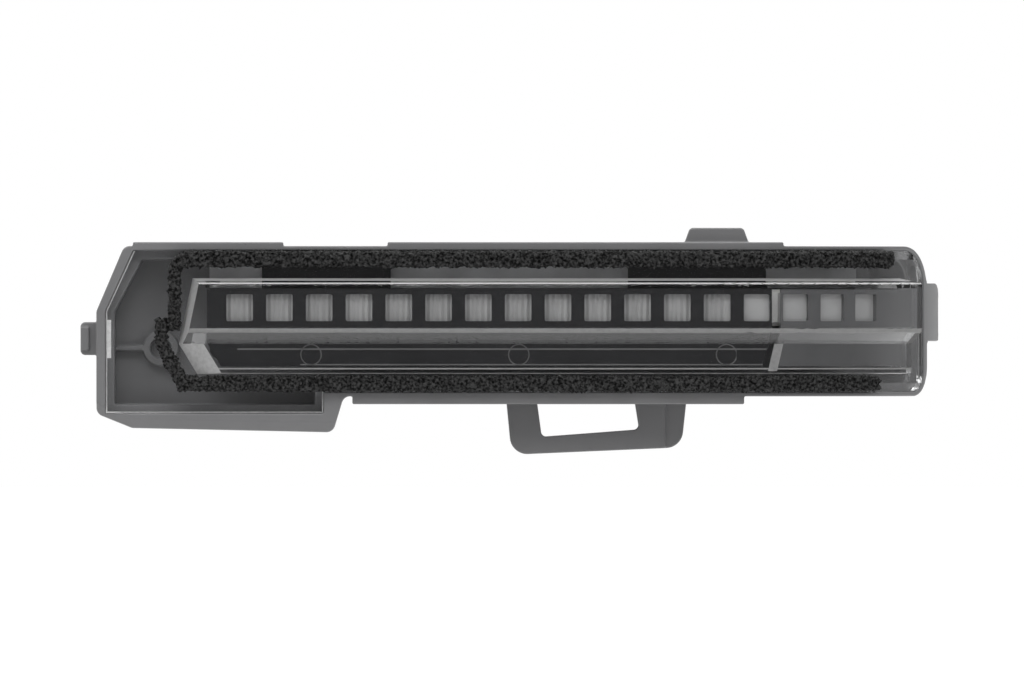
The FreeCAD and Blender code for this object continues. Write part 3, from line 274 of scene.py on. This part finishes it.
def maths(tree, operation, *values):
    """Result of a sum on sockets and plain numbers."""
    node = tree.nodes.new("ShaderNodeMath")
    node.operation = operation
    for slot, value in zip(node.inputs, values):
        if isinstance(value, (int, float)):
            slot.default_value = value
        else:
            tree.links.new(value, slot)
    return node.outputs[0]


def any_of(tree, sockets):
    """Largest of several values."""
    result = sockets[0]
    for socket in sockets[1:]:
        result = maths(tree, "MAXIMUM", result, socket)
    return result


def smooth_range(tree, value, start, end, low, high):
    """Value that runs smoothly from low to high while another runs from start to end."""
    node = tree.nodes.new("ShaderNodeMapRange")
    node.interpolation_type = "SMOOTHSTEP"
    for label, number in (("From Min", start), ("From Max", end), ("To Min", low), ("To Max", high)):
        node.inputs[label].default_value = number
    tree.links.new(value, node.inputs["Value"])
    return node.outputs["Result"]


def two_tones(tree, value, dark, light, start=0.3):
    """Colour that runs from dark to light with a value, from start up to as far below 1."""
    ramp = tree.nodes.new("ShaderNodeValToRGB")
    ramp.color_ramp.elements[0].position = start
    ramp.color_ramp.elements[1].position = 1 - start
    ramp.color_ramp.elements[0].color = (*dark, 1)
    ramp.color_ramp.elements[1].color = (*light, 1)
    tree.links.new(value, ramp.inputs["Fac"])
    return ramp.outputs["Color"]


def bump(tree, shader, height, distance, strength=1.0):
    """Fine relief of a height in metres."""
    node = tree.nodes.new("ShaderNodeBump")
    node.inputs["Distance"].default_value = distance
    node.inputs["Strength"].default_value = strength
    tree.links.new(height, node.inputs["Height"])
    tree.links.new(node.outputs["Normal"], shader.inputs["Normal"])


def tinted(colour, factor):
    """Colour made darker or lighter."""
    return tuple(channel * factor for channel in colour)


def moulded(name, colour, gloss, grain=0.0006, contrast=0.12, relief=0.000015, metal=0.0):
    """Moulded or plated finish: faint clouds of tone, uneven gloss and a fine skin."""
    material, tree, shader = new_material(name)
    vector = object_coordinates(tree)
    clouds = noise(tree, vector, CLOUD_SIZE)
    patches = noise(tree, vector, GLOSS_PATCH)
    dark = tinted(colour, 1 - contrast)
    light = tinted(colour, 1 + contrast)
    tree.links.new(two_tones(tree, clouds, dark, light), shader.inputs["Base Color"])
    roughness = spread(tree, patches, gloss * GLOSS_LEAST, gloss * GLOSS_MOST)
    tree.links.new(roughness, shader.inputs["Roughness"])
    bump(tree, shader, noise(tree, vector, grain), relief, SKIN_STRENGTH)
    shader.inputs["Metallic"].default_value = metal
    return material


def clear_moulding(name, colour):
    """Clear polished plastic with a faint flow of the melt."""
    material, tree, shader = new_material(name)
    flow = noise(tree, object_coordinates(tree, scale=(0.3, 1, 1)), size=0.006)
    shader.inputs["Base Color"].default_value = (*colour, 1)
    shader.inputs["Transmission Weight"].default_value = 1.0
    shader.inputs["IOR"].default_value = LENS_INDEX
    tree.links.new(spread(tree, flow, low=0.01, high=0.05), shader.inputs["Roughness"])
    return material


def frost_and_painted_highlight(name, colour):
    """Clear plastic with a matt, sparkling skin, for the frosted end and, in pale tones, for painted
    highlights.
    """
    material, tree, shader = new_material(name)
    specks = noise(tree, object_coordinates(tree), size=0.0008, detail=6.0)
    tone = two_tones(tree, specks, dark=tinted(colour, 0.75), light=colour)
    tree.links.new(tone, shader.inputs["Base Color"])
    tree.links.new(spread(tree, specks, low=0.3, high=0.6), shader.inputs["Roughness"])
    shader.inputs["Transmission Weight"].default_value = 0.35
    shader.inputs["IOR"].default_value = LENS_INDEX
    bump(tree, shader, specks, distance=0.0002, strength=0.5)
    return material


def crumbed_foam(name, colour):
    """Black foam with dull crumbs."""
    material, tree, shader = new_material(name)
    vector = object_coordinates(tree)
    grains = noise(tree, vector, size=0.0006, detail=3.0)
    tone = two_tones(tree, grains, dark=tinted(colour, 0.1), light=tinted(colour, 8.0), start=0.4)
    tree.links.new(tone, shader.inputs["Base Color"])
    patches = noise(tree, vector, size=0.0007)
    tree.links.new(spread(tree, patches, low=0.45, high=0.85), shader.inputs["Roughness"])
    bump(tree, shader, noise(tree, vector, size=0.0004, detail=6.0), distance=0.0002, strength=0.8)
    shader.inputs["Specular IOR Level"].default_value = 0.2
    return material


def forward_at(point):
    """Direction of the light at a point: straight ahead on the run, outwards on the wrap."""
    if point.x <= BEND_X:
        return Vector((0, -1, 0))
    return Vector((point.x - BEND_X, point.y - BEND_AXIS, 0)).normalized()


def depth_at(point):
    """How far a point lies in front of the flat back, measured along the light."""
    if point.x <= BEND_X:
        return -point.y
    return math.hypot(point.x - BEND_X, point.y - BEND_AXIS) - BEND_AXIS


def plain_mesh(name, mesh):
    """New object in the scene with a mesh."""
    piece = bpy.data.objects.new(name, mesh)
    bpy.context.scene.collection.objects.link(piece)
    return piece


@contextmanager
def reshaped(mesh):
    """Shape of a mesh that is written back when it has been changed."""
    shape = bmesh.new()
    shape.from_mesh(mesh)
    yield shape
    shape.to_mesh(mesh)
    shape.free()


def merged_mesh(node, name, whole_faces=False):
    """Copy of a CAD node's mesh with its loose triangles joined, and its flat faces made whole if asked."""
    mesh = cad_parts[node].data.copy()
    mesh.name = name
    with reshaped(mesh) as shape:
        bmesh.ops.remove_doubles(shape, verts=shape.verts, dist=SAME_POINT)
        if whole_faces:
            bmesh.ops.dissolve_limit(shape, angle_limit=WHOLE_FACE, verts=shape.verts, edges=shape.edges)
    return mesh


def bake_modifiers(piece):
    """Plain mesh of the piece as its modifiers leave it, with the modifiers gone."""
    bpy.context.view_layer.update()
    evaluated = piece.evaluated_get(bpy.context.evaluated_depsgraph_get())
    mesh = bpy.data.meshes.new_from_object(evaluated)
    old = piece.data
    piece.modifiers.clear()
    piece.data = mesh
    bpy.data.meshes.remove(old)


def flat_areas(shape):
    """Area, in square millimetres, of the flat region that each face is part of."""
    areas = {}
    for first in shape.faces:
        if first.index in areas:
            continue
        region = {first.index: first}
        waiting = [first]
        while waiting:
            for edge in waiting.pop().edges:
                for face in edge.link_faces:
                    if face.index not in region and face.normal.dot(first.normal) > SAME_PLANE:
                        region[face.index] = face
                        waiting.append(face)
        total = sum(face.calc_area() for face in region.values()) / MILLIMETRE ** 2
        areas.update(dict.fromkeys(region, total))
    return areas


def shade_evenly(mesh, turn):
    """Smooth shading up to a turn, in which a corner takes after the largest flat region beside it."""
    shape = bmesh.new()
    shape.from_mesh(mesh)
    shape.normal_update()
    areas = flat_areas(shape)
    limit = math.cos(turn)
    normals = []
    for face in shape.faces:
        for corner in face.loops:
            beside = [other for other in corner.vert.link_faces if other.normal.dot(face.normal) > limit]
            total = sum((other.normal * areas[other.index] ** 2 for other in beside), Vector())
            normals.append(total.normalized())
    shape.free()
    mesh.shade_smooth()
    mesh.normals_split_custom_set(normals)


def soften(piece, width):
    """Small round on every sharp edge."""
    bevel = piece.modifiers.new("edge_round", "BEVEL")
    bevel.width = width
    bevel.segments = ROUND_STEPS
    bevel.limit_method = "ANGLE"
    bevel.angle_limit = SHARP_EDGE
    bevel.use_clamp_overlap = False
    bevel.miter_outer = "MITER_ARC"
    bake_modifiers(piece)


def hold_inside(mesh, box):
    """Bring back the points that a rounded edge has pushed out of a box."""
    lowest, highest = box
    for vert in mesh.vertices:
        vert.co = [min(max(value, low), high) for value, low, high in zip(vert.co, lowest, highest)]


def round_windows(mesh, radius):
    """Round the corners of a mask's light windows."""
    lowest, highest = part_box("leds")
    level = (lowest[2] + highest[2]) / 2

    def is_corner(edge):
        heights = [vert.co.z - level for vert in edge.verts]
        on_window = all(abs(abs(height) - WINDOW_HALF) < CLOSE for height in heights)
        run = (edge.verts[1].co - edge.verts[0].co).normalized()
        through = abs(run.dot(forward_at(edge.verts[0].co))) > THROUGH
        return on_window and through and edge.is_manifold and edge.calc_face_angle() > SHARP_EDGE

    with reshaped(mesh) as shape:
        corners = [edge for edge in shape.edges if is_corner(edge)]
        if not corners:
            raise RuntimeError("the mask has no window corners")
        bmesh.ops.bevel(shape, geom=corners, offset=radius, offset_type="OFFSET", segments=ROUND_STEPS,
                        profile=0.5, affect="EDGES", clamp_overlap=False)


def chamfer_rim(mesh, width):
    """Chamfer the outer edge of the lens' flange along the straight run."""
    def is_rim(edge):
        on_run = all(vert.co.x <= BEND_X for vert in edge.verts)
        on_flange = all(abs(depth_at(vert.co) - FLANGE_DEPTH) < CLOSE for vert in edge.verts)
        sharp = edge.is_manifold and edge.is_convex and edge.calc_face_angle() > SHARP_EDGE
        return on_run and on_flange and sharp

    with reshaped(mesh) as shape:
        rim = [edge for edge in shape.edges if is_rim(edge)]
        bmesh.ops.bevel(shape, geom=rim, offset=width, offset_type="OFFSET", segments=1, profile=0.5,
                        affect="EDGES", clamp_overlap=False)


def divide(mesh, cuts):
    """Divide a mesh along planes, each given by a point in millimetres and the direction across it."""
    with reshaped(mesh) as shape:
        for point, direction in cuts:
            everything = [*shape.verts, *shape.edges, *shape.faces]
            place = Vector(point) * MILLIMETRE
            bmesh.ops.bisect_plane(shape, geom=everything, dist=SAME_POINT, plane_co=place,
                                   plane_no=direction)


def dress(piece, node, material):
    """Give a new piece its finish and let it stand for its CAD node."""
    piece.data.materials.clear()
    piece.data.materials.append(material)
    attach(piece, BODY)
    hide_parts(node)


def smooth_copy(node, material, edge_round=0.0, window_round=0.0, rim_chamfer=0.0, cuts=()):
    """Smooth piece that stands for a CAD node of the same shape."""
    mesh = merged_mesh(node, f"{node}_shell", edge_round + window_round > 0)
    if window_round:
        round_windows(mesh, window_round)
    if rim_chamfer:
        chamfer_rim(mesh, rim_chamfer)
    divide(mesh, cuts)
    piece = plain_mesh(f"{node}_shell", mesh)
    if edge_round:
        soften(piece, edge_round)
        hold_inside(piece.data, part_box(node))
    shade_evenly(piece.data, SHARP_EDGE if edge_round else SMOOTH_TURN)
    dress(piece, node, material)
    return piece


def lens_cuts():
    """Planes along the edges of the lens' moulded lines."""
    heights = (WALL_FOOT_LOW, LATCH_LOW, LATCH_TOP, JOINT_LOW, JOINT_TOP, STEP_LINE_LOW, STEP_LINE_TOP)
    upright = [((0, 0, height), UPRIGHT) for height in heights]
    across = [((LATCH_LEFT, 0, 0), ACROSS), ((LATCH_RIGHT, 0, 0), ACROSS)]
    leaning = [((JOINT_LEFT, 0, JOINT_TOP), JOINT_LEAN), ((JOINT_RIGHT, 0, JOINT_TOP), JOINT_LEAN)]
    return upright + across + leaning


def panel_cuts():
    """Planes along the edges of the lines in the mask's lower panel."""
    cuts = []
    for low, high, left in PANEL_LINES:
        cuts += [((0, 0, low), UPRIGHT), ((0, 0, high), UPRIGHT), ((left, 0, 0), ACROSS)]
    return cuts


def on_frosted_end(face):
    """True for the left end of the light bar, in front of the flange."""
    in_front = face.center.y < -FLANGE_DEPTH - 2 * CLOSE
    return face.center.x < FROST_REACH * MILLIMETRE and in_front and face.normal.x < FROST_SLOPE


def past_joint(point, along):
    """True to the right of a leaning plane that starts at a place along the joint's top."""
    return (point / MILLIMETRE - Vector((along, 0, JOINT_TOP))).dot(JOINT_LEAN) > 0


def on_soft_painted_highlight(face):
    """True for the faces painted with softer highlights, the round on the ridge and the line low on the
    step, and for the strip before the masks' joint.
    """
    height = face.center.z / MILLIMETRE
    ridge = RIDGE_LOW < height < RIDGE_TOP and RIDGE_STEEP < face.normal.z < RIDGE_LEVEL
    at_step = abs(depth_at(face.center) - STEP_DEPTH) < FACET_SAG
    in_front = at_step and face.normal.dot(forward_at(face.center)) > FACING
    step_line = STEP_LINE_LOW < height < STEP_LINE_TOP
    between = past_joint(face.center, JOINT_LEFT) and not past_joint(face.center, JOINT_RIGHT)
    joint = JOINT_LOW < height < JOINT_TOP and between
    return ridge or in_front and (step_line or joint)


def on_panel_line(face):
    """True for the fine lines along the mask's lower panel."""
    along = face.center.x / MILLIMETRE
    height = face.center.z / MILLIMETRE
    on_panel = abs(depth_at(face.center) - PANEL_DEPTH) < FACET_SAG
    return on_panel and any(low < height < high and along > left for low, high, left in PANEL_LINES)


def on_bright_painted_highlight(face):
    """True for the faces painted with bright highlights: the round along the top edge, the feet of the
    bar's walls, the rim and the latch.
    """
    along = face.center.x / MILLIMETRE
    height = face.center.z / MILLIMETRE
    slope = face.normal.z
    facing = face.normal.dot(forward_at(face.center))
    behind_flange = FLANGE_DEPTH - depth_at(face.center)
    top_edge = TOP_EDGE_LOW < height < TOP_EDGE_TOP and TOP_EDGE_LEVEL < slope < TOP_EDGE_STEEP
    wall_foot = WALL_FOOT_LOW < height < WALL_FOOT_TOP and slope > FACING
    step_foot = STEP_FOOT_LOW < height < STEP_FOOT_TOP and slope < -FACING
    rim = CHAMFER_STEEP < facing < CHAMFER_LEVEL and CLOSE < behind_flange < LENS_CHAMFER
    on_flange = facing > FACING and abs(behind_flange) < CLOSE
    latch = on_flange and LATCH_LEFT < along < LATCH_RIGHT and LATCH_LOW < height < LATCH_TOP
    return top_edge or wall_foot or step_foot or rim or latch


def on_ring(corners):
    """True for a face of the round marks in the mask's lower panel."""
    for index in range(RING_COUNT):
        centre = RING_X + index * RING_PITCH
        spans = [math.hypot(corner.x - centre, corner.z - RING_Z) for corner in corners]
        on_line = all(abs(span - RING_RADIUS) < RING_LINE for span in spans)
        on_floor = all(abs(corner.y + RING_FLOOR) < CLOSE for corner in corners)
        if on_line and on_floor and max(spans) - min(spans) > RING_LINE / 2:
            return True
    return False


def foam_tree(voxel, grain, rough, seed):
    """Geometry tree that turns a plain strip into crumbed foam."""
    tree = bpy.data.node_groups.new("crumbed_strip", "GeometryNodeTree")
    tree.interface.new_socket("Geometry", in_out="INPUT", socket_type="NodeSocketGeometry")
    for label, value in (("Voxel", voxel), ("Grain", grain), ("Rough", rough), ("Seed", seed)):
        socket = tree.interface.new_socket(label, in_out="INPUT", socket_type="NodeSocketFloat")
        socket.default_value = value
    tree.interface.new_socket("Material", in_out="INPUT", socket_type="NodeSocketMaterial")
    tree.interface.new_socket("Geometry", in_out="OUTPUT", socket_type="NodeSocketGeometry")
    nodes = tree.nodes
    link = tree.links.new
    start = nodes.new("NodeGroupInput")
    end = nodes.new("NodeGroupOutput")

    volume = nodes.new("GeometryNodeMeshToVolume")
    volume.resolution_mode = "VOXEL_SIZE"
    link(start.outputs["Geometry"], volume.inputs["Mesh"])
    link(start.outputs["Voxel"], volume.inputs["Voxel Size"])
    link(start.outputs["Voxel"], volume.inputs["Interior Band Width"])
    skin = nodes.new("GeometryNodeVolumeToMesh")
    skin.resolution_mode = "VOXEL_SIZE"
    link(volume.outputs["Volume"], skin.inputs["Volume"])
    link(start.outputs["Voxel"], skin.inputs["Voxel Size"])

    scale = maths(tree, "DIVIDE", 1.0, start.outputs["Grain"])
    cells = nodes.new("ShaderNodeTexVoronoi")
    cells.voronoi_dimensions = "4D"
    cells.feature = "F1"
    link(scale, cells.inputs["Scale"])
    link(start.outputs["Seed"], cells.inputs["W"])
    ragged = nodes.new("ShaderNodeTexNoise")
    ragged.noise_dimensions = "4D"
    ragged.inputs["Detail"].default_value = 3.0
    link(scale, ragged.inputs["Scale"])
    link(start.outputs["Seed"], ragged.inputs["W"])

    lump = maths(tree, "SUBTRACT", ragged.outputs["Fac"], cells.outputs["Distance"])
    lift = maths(tree, "MULTIPLY", lump, start.outputs["Rough"])
    normal = nodes.new("GeometryNodeInputNormal")
    offset = nodes.new("ShaderNodeVectorMath")
    offset.operation = "SCALE"
    link(normal.outputs["Normal"], offset.inputs[0])
    link(lift, offset.inputs["Scale"])
    move = nodes.new("GeometryNodeSetPosition")
    link(skin.outputs["Mesh"], move.inputs["Geometry"])
    link(offset.outputs["Vector"], move.inputs["Offset"])

    real = nodes.new("GeometryNodeRealizeInstances")
    paint = nodes.new("GeometryNodeSetMaterial")
    link(move.outputs["Geometry"], real.inputs["Geometry"])
    link(real.outputs["Geometry"], paint.inputs["Geometry"])
    link(start.outputs["Material"], paint.inputs["Material"])
    link(paint.outputs["Geometry"], end.inputs["Geometry"])
    return tree


def look_at(thing, place, target):
    """Put a lamp or camera at a place and turn it to a target."""
    thing.location = place
    thing.rotation_euler = (Vector(target) - Vector(place)).to_track_quat("-Z", "Y").to_euler()


def soft_lamp(name, place, target, size, power):
    """Square or strip lamp that points at a place."""
    lamp = bpy.data.lights.new(name, "AREA")
    lamp.shape = "RECTANGLE"
    lamp.size, lamp.size_y = size
    lamp.energy = power
    thing = bpy.data.objects.new(name, lamp)
    bpy.context.scene.collection.objects.link(thing)
    look_at(thing, place, target)


def studio_world(room_light, front_light, side_light):
    """White background, dimmer in gloss and glass towards the front and right, and an even room light."""
    world = bpy.data.worlds.new("studio")
    world.use_nodes = True
    bpy.context.scene.world = world
    tree = world.node_tree
    shader = next(node for node in tree.nodes if node.type == "BACKGROUND")
    path = tree.nodes.new("ShaderNodeLightPath")
    direction = tree.nodes.new("ShaderNodeTexCoord")
    split = tree.nodes.new("ShaderNodeSeparateXYZ")
    tree.links.new(direction.outputs["Generated"], split.inputs["Vector"])
    behind = smooth_range(tree, split.outputs["Y"], DIM_FRONT, BRIGHT_BACK, front_light, 1.0)
    beside = smooth_range(tree, split.outputs["X"], BRIGHT_MIDDLE, DIM_RIGHT, 1.0, side_light)
    glow = maths(tree, "MULTIPLY", behind, beside)

    # Gloss and glass show the dimming background, unless the light has met a matt surface first.
    seen = any_of(tree, [path.outputs["Is Glossy Ray"], path.outputs["Is Transmission Ray"]])
    direct = maths(tree, "LESS_THAN", path.outputs["Diffuse Depth"], BEFORE_BOUNCE)
    lit = tree.nodes.new("ShaderNodeMix")
    lit.inputs["A"].default_value = room_light
    tree.links.new(maths(tree, "MULTIPLY", seen, direct), lit.inputs["Factor"])
    tree.links.new(glow, lit.inputs["B"])
    camera = tree.nodes.new("ShaderNodeMix")
    camera.inputs["B"].default_value = 1.0
    tree.links.new(path.outputs["Is Camera Ray"], camera.inputs["Factor"])
    tree.links.new(lit.outputs["Result"], camera.inputs["A"])
    tree.links.new(camera.outputs["Result"], shader.inputs["Strength"])
    shader.inputs["Color"].default_value = (1, 1, 1, 1)


def pale_floor(height, front_light):
    """Wide white floor that keeps the shadow under the lamp, and is dimmer in gloss towards the front."""
    mesh = bpy.data.meshes.new("floor")
    sides = ((-1, -1), (1, -1), (1, 1), (-1, 1))
    corners = [(FLOOR_REACH * x, FLOOR_REACH * y, height) for x, y in sides]
    mesh.from_pydata(corners, [], [(0, 1, 2, 3)])
    floor = plain_mesh("floor", mesh)
    material, tree, shader = new_material("floor_white")
    shader.inputs["Roughness"].default_value = FLOOR_ROUGHNESS
    shader.inputs["Specular IOR Level"].default_value = FLOOR_SHEEN
    vector = object_coordinates(tree)
    tone = two_tones(tree, noise(tree, vector, FLOOR_CLOUD), FLOOR_DARK, FLOOR_PALE)
    tree.links.new(tone, shader.inputs["Base Color"])

    path = tree.nodes.new("ShaderNodeLightPath")
    camera = path.outputs["Is Camera Ray"]
    mirrored = any_of(tree, [path.outputs["Is Glossy Ray"], path.outputs["Is Transmission Ray"]])
    split = tree.nodes.new("ShaderNodeSeparateXYZ")
    tree.links.new(vector, split.inputs["Vector"])
    fade = smooth_range(tree, split.outputs["Y"], FLOOR_DIM, FLOOR_BRIGHT, front_light, 1.0)
    glow = tree.nodes.new("ShaderNodeEmission")
    white = maths(tree, "MULTIPLY", camera, FLOOR_GLOW)
    tree.links.new(any_of(tree, [white, fade]), glow.inputs["Strength"])
    blend = tree.nodes.new("ShaderNodeMixShader")
    share = maths(tree, "MULTIPLY", camera, FLOOR_GLOW_SHARE)
    tree.links.new(any_of(tree, [share, mirrored]), blend.inputs["Fac"])
    tree.links.new(shader.outputs["BSDF"], blend.inputs[1])
    tree.links.new(glow.outputs["Emission"], blend.inputs[2])
    output = next(node for node in tree.nodes if node.type == "OUTPUT_MATERIAL")
    tree.links.new(blend.outputs["Shader"], output.inputs["Surface"])
    mesh.materials.append(material)


class MIRRORLIGHT_OT_housing(bpy.types.Operator):
    """Glossy grey housing with rounded edges"""
    bl_idname = "mirrorlight.housing"
    bl_label = "Housing"

    def execute(self, context):
        finish = settings()[1]
        grey = moulded("housing_grey", finish.housing, gloss=0.3, contrast=0.04, relief=0.000006)
        smooth_copy("housing", grey, edge_round=EDGE_ROUND)
        return {"FINISHED"}


class MIRRORLIGHT_OT_lens(bpy.types.Operator):
    """Clear lens that lets the lamps through"""
    bl_idname = "mirrorlight.lens"
    bl_label = "Lens"

    def execute(self, context):
        finish = settings()[1]
        clear = clear_moulding("lens_clear", finish.lens)
        lens = smooth_copy("lens", clear, rim_chamfer=LENS_CHAMFER, cuts=lens_cuts())
        # The lamps and the room light reach the parts behind the clear lens.
        lens.visible_shadow = False
        lens.visible_diffuse = False
        lens.data.materials.append(frost_and_painted_highlight("lens_frosted", finish.frost))
        # Bright and softer lines are painted on the lens as highlights.
        lens.data.materials.append(frost_and_painted_highlight("lens_bright_painted_highlight", finish.line))
        lens.data.materials.append(frost_and_painted_highlight("lens_soft_painted_highlight", finish.ridge))
        for face in lens.data.polygons:
            if on_frosted_end(face):
                face.material_index = FROSTED
            elif on_bright_painted_highlight(face):
                face.material_index = BRIGHT_PAINTED_HIGHLIGHT
            elif on_soft_painted_highlight(face):
                face.material_index = SOFT_PAINTED_HIGHLIGHT
        return {"FINISHED"}


class MIRRORLIGHT_OT_masks(bpy.types.Operator):
    """Black main mask and grey side mask"""
    bl_idname = "mirrorlight.masks"
    bl_label = "Masks"

    def execute(self, context):
        finish = settings()[1]
        black = moulded("mask_black", finish.mask, gloss=0.22)
        mask = smooth_copy("main_mask", black, window_round=WINDOW_ROUND, cuts=panel_cuts())
        mask.data.materials.append(moulded("ring_grey", finish.ring, gloss=0.4))
        for face in mask.data.polygons:
            corners = [mask.data.vertices[index].co for index in face.vertices]
            if on_ring(corners) or on_panel_line(face):
                face.material_index = SECOND_FINISH
        grey = moulded("mask_grey", finish.side_mask, gloss=0.3)
        smooth_copy("side_mask", grey, window_round=WINDOW_ROUND)
        return {"FINISHED"}


class MIRRORLIGHT_OT_optics(bpy.types.Operator):
    """Milky diffusers, white light cells, LEDs and their strip"""
    bl_idname = "mirrorlight.optics"
    bl_label = "Optics"

    def execute(self, context):
        finish = settings()[1]
        milky = moulded("diffuser_milky", finish.diffuser, gloss=0.35)
        for node in ("main_diffuser", "side_diffuser"):
            smooth_copy(node, milky)
        white = moulded("pale_moulding", (0.45, 0.45, 0.44), gloss=0.5, contrast=0.05)
        smooth_copy("light_cells", white)
        smooth_copy("leds", moulded("led_package", (0.8, 0.68, 0.34), gloss=0.3))
        smooth_copy("led_strip", moulded("white_circuit", (0.8, 0.8, 0.77), gloss=0.4, contrast=0.04))
        return {"FINISHED"}


class MIRRORLIGHT_OT_electronics(bpy.types.Operator):
    """Carrier, driver board and everything on it"""
    bl_idname = "mirrorlight.electronics"
    bl_label = "Electronics"

    def execute(self, context):
        aluminium = moulded("bare_aluminium", (0.66, 0.66, 0.67), gloss=0.6, metal=1.0)
        carrier = smooth_copy("strip_carrier", aluminium, cuts=[((0, 0, CARRIER_BLACK_TOP), UPRIGHT)])
        carrier.data.materials.append(moulded("blackened", (0.015, 0.015, 0.015), gloss=0.5))
        for face in carrier.data.polygons:
            if face.center.z < CARRIER_BLACK_TOP * MILLIMETRE:
                face.material_index = SECOND_FINISH
        finishes = {
            "carrier_screws": moulded("zinc", (0.55, 0.55, 0.56), gloss=0.3, metal=1.0),
            "driver_board": moulded("board_black", (0.025, 0.025, 0.028), gloss=0.35),
            "driver_chip": moulded("chip_black", (0.02, 0.02, 0.02), gloss=0.5),
            "board_capacitors": moulded("ceramic_tan", (0.38, 0.27, 0.16), gloss=0.5),
            "ribbon_connector": moulded("ivory", (0.7, 0.66, 0.55), gloss=0.45),
            "ribbon_tail": moulded("amber_film", (0.5, 0.25, 0.05), gloss=0.3),
            "socket_pins": moulded("tinned_brass", (0.75, 0.62, 0.32), gloss=0.28, metal=1.0),
            "vent_patch": moulded("membrane", (0.62, 0.62, 0.61), gloss=0.75, grain=0.0003, relief=0.00004),
        }
        finishes["board_screws"] = finishes["carrier_screws"]
        finishes["board_resistors"] = finishes["driver_chip"]
        finishes["protection_diode"] = finishes["driver_chip"]
        for node, material in finishes.items():
            smooth_copy(node, material)
        return {"FINISHED"}


class MIRRORLIGHT_OT_foam(bpy.types.Operator):
    """Crumbed black foam strips round the light bar"""
    bl_idname = "mirrorlight.foam"
    bl_label = "Foam strips"

    def execute(self, context):
        _, finish, foam = settings()
        material = crumbed_foam("foam_black", finish.foam)
        tree = foam_tree(foam.voxel, foam.grain, foam.rough, float(foam.seed))
        sockets = tree.interface.items_tree
        inputs = {item.name: item.identifier for item in sockets if item.in_out == "INPUT"}
        for node in ("upper_foam", "lower_foam"):
            strip = plain_mesh(f"{node}_strip", merged_mesh(node, f"{node}_strip"))
            crumbs = strip.modifiers.new("crumbs", "NODES")
            crumbs.node_group = tree
            crumbs[inputs["Material"]] = material
            bake_modifiers(strip)
            if not strip.data.polygons:
                raise RuntimeError(f"{node} came out empty")
            strip.data.shade_flat()
            dress(strip, node, material)
        return {"FINISHED"}


class MIRRORLIGHT_OT_stage(bpy.types.Operator):
    """Camera, soft lamps, pale floor and white background"""
    bl_idname = "mirrorlight.stage"
    bl_label = "Stage"

    def execute(self, context):
        stage = settings()[0]
        scene = context.scene
        scene.view_settings.view_transform = "Standard"
        studio_world(stage.room_light, stage.front_light, stage.side_light)
        pale_floor(CAD_BOX[0][2] - stage.floor_drop, stage.front_light)

        middle_x = (IMAGE_WIDTH / 2 - stage.origin_column) * stage.pixel
        middle_z = (stage.origin_row - IMAGE_HEIGHT / 2) * stage.pixel
        target = Vector((middle_x, -stage.lens_depth, middle_z))
        arm = Vector((0, -math.cos(stage.elevation), math.sin(stage.elevation)))
        data = bpy.data.cameras.new("camera")
        data.sensor_width = CAMERA_SENSOR
        data.lens = data.sensor_width * stage.distance / (IMAGE_WIDTH * stage.pixel)
        data.clip_start = CAMERA_NEAREST
        camera = bpy.data.objects.new("camera", data)
        scene.collection.objects.link(camera)
        look_at(camera, target + arm * stage.distance, target)
        scene.camera = camera

        powers = {"key": stage.key_power, "fill": stage.fill_power, "rim": stage.rim_power}
        for name, (place, size) in LAMPS.items():
            soft_lamp(name, place, target, size, powers[name])
        return {"FINISHED"}


class MIRRORLIGHT_PT_panel(bpy.types.Panel):
    """Pieces and stage of the mirror light"""
    bl_idname = "MIRRORLIGHT_PT_panel"
    bl_label = "Mirror light"
    bl_space_type = "VIEW_3D"
    bl_region_type = "UI"
    bl_category = "Mirror light"

    def draw(self, context):
        for operator in OPERATORS:
            self.layout.operator(operator.bl_idname)
        for group in settings():
            for name in group.__annotations__:
                self.layout.prop(group, name)


GROUPS = {
    "mirror_light_stage": MirrorLightStage,
    "mirror_light_finish": MirrorLightFinish,
    "mirror_light_foam": MirrorLightFoam,
}
OPERATORS = (
    MIRRORLIGHT_OT_stage,
    MIRRORLIGHT_OT_housing,
    MIRRORLIGHT_OT_lens,
    MIRRORLIGHT_OT_masks,
    MIRRORLIGHT_OT_optics,
    MIRRORLIGHT_OT_electronics,
    MIRRORLIGHT_OT_foam,
)
CLASSES = (*GROUPS.values(), *OPERATORS, MIRRORLIGHT_PT_panel)


def register():
    """Make the groups, operators and panel known."""
    for item in CLASSES:
        bpy.utils.register_class(item)
    for name, group in GROUPS.items():
        setattr(bpy.types.Scene, name, PointerProperty(type=group))


def unregister():
    """Take them back in the opposite order."""
    for name in GROUPS:
        delattr(bpy.types.Scene, name)
    for item in reversed(CLASSES):
        bpy.utils.unregister_class(item)


def main():
    """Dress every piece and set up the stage."""
    register()
    bpy.ops.mirrorlight.stage()
    bpy.ops.mirrorlight.housing()
    bpy.ops.mirrorlight.lens()
    bpy.ops.mirrorlight.masks()
    bpy.ops.mirrorlight.optics()
    bpy.ops.mirrorlight.electronics()
    bpy.ops.mirrorlight.foam()


if __name__ == "__main__":
    main()
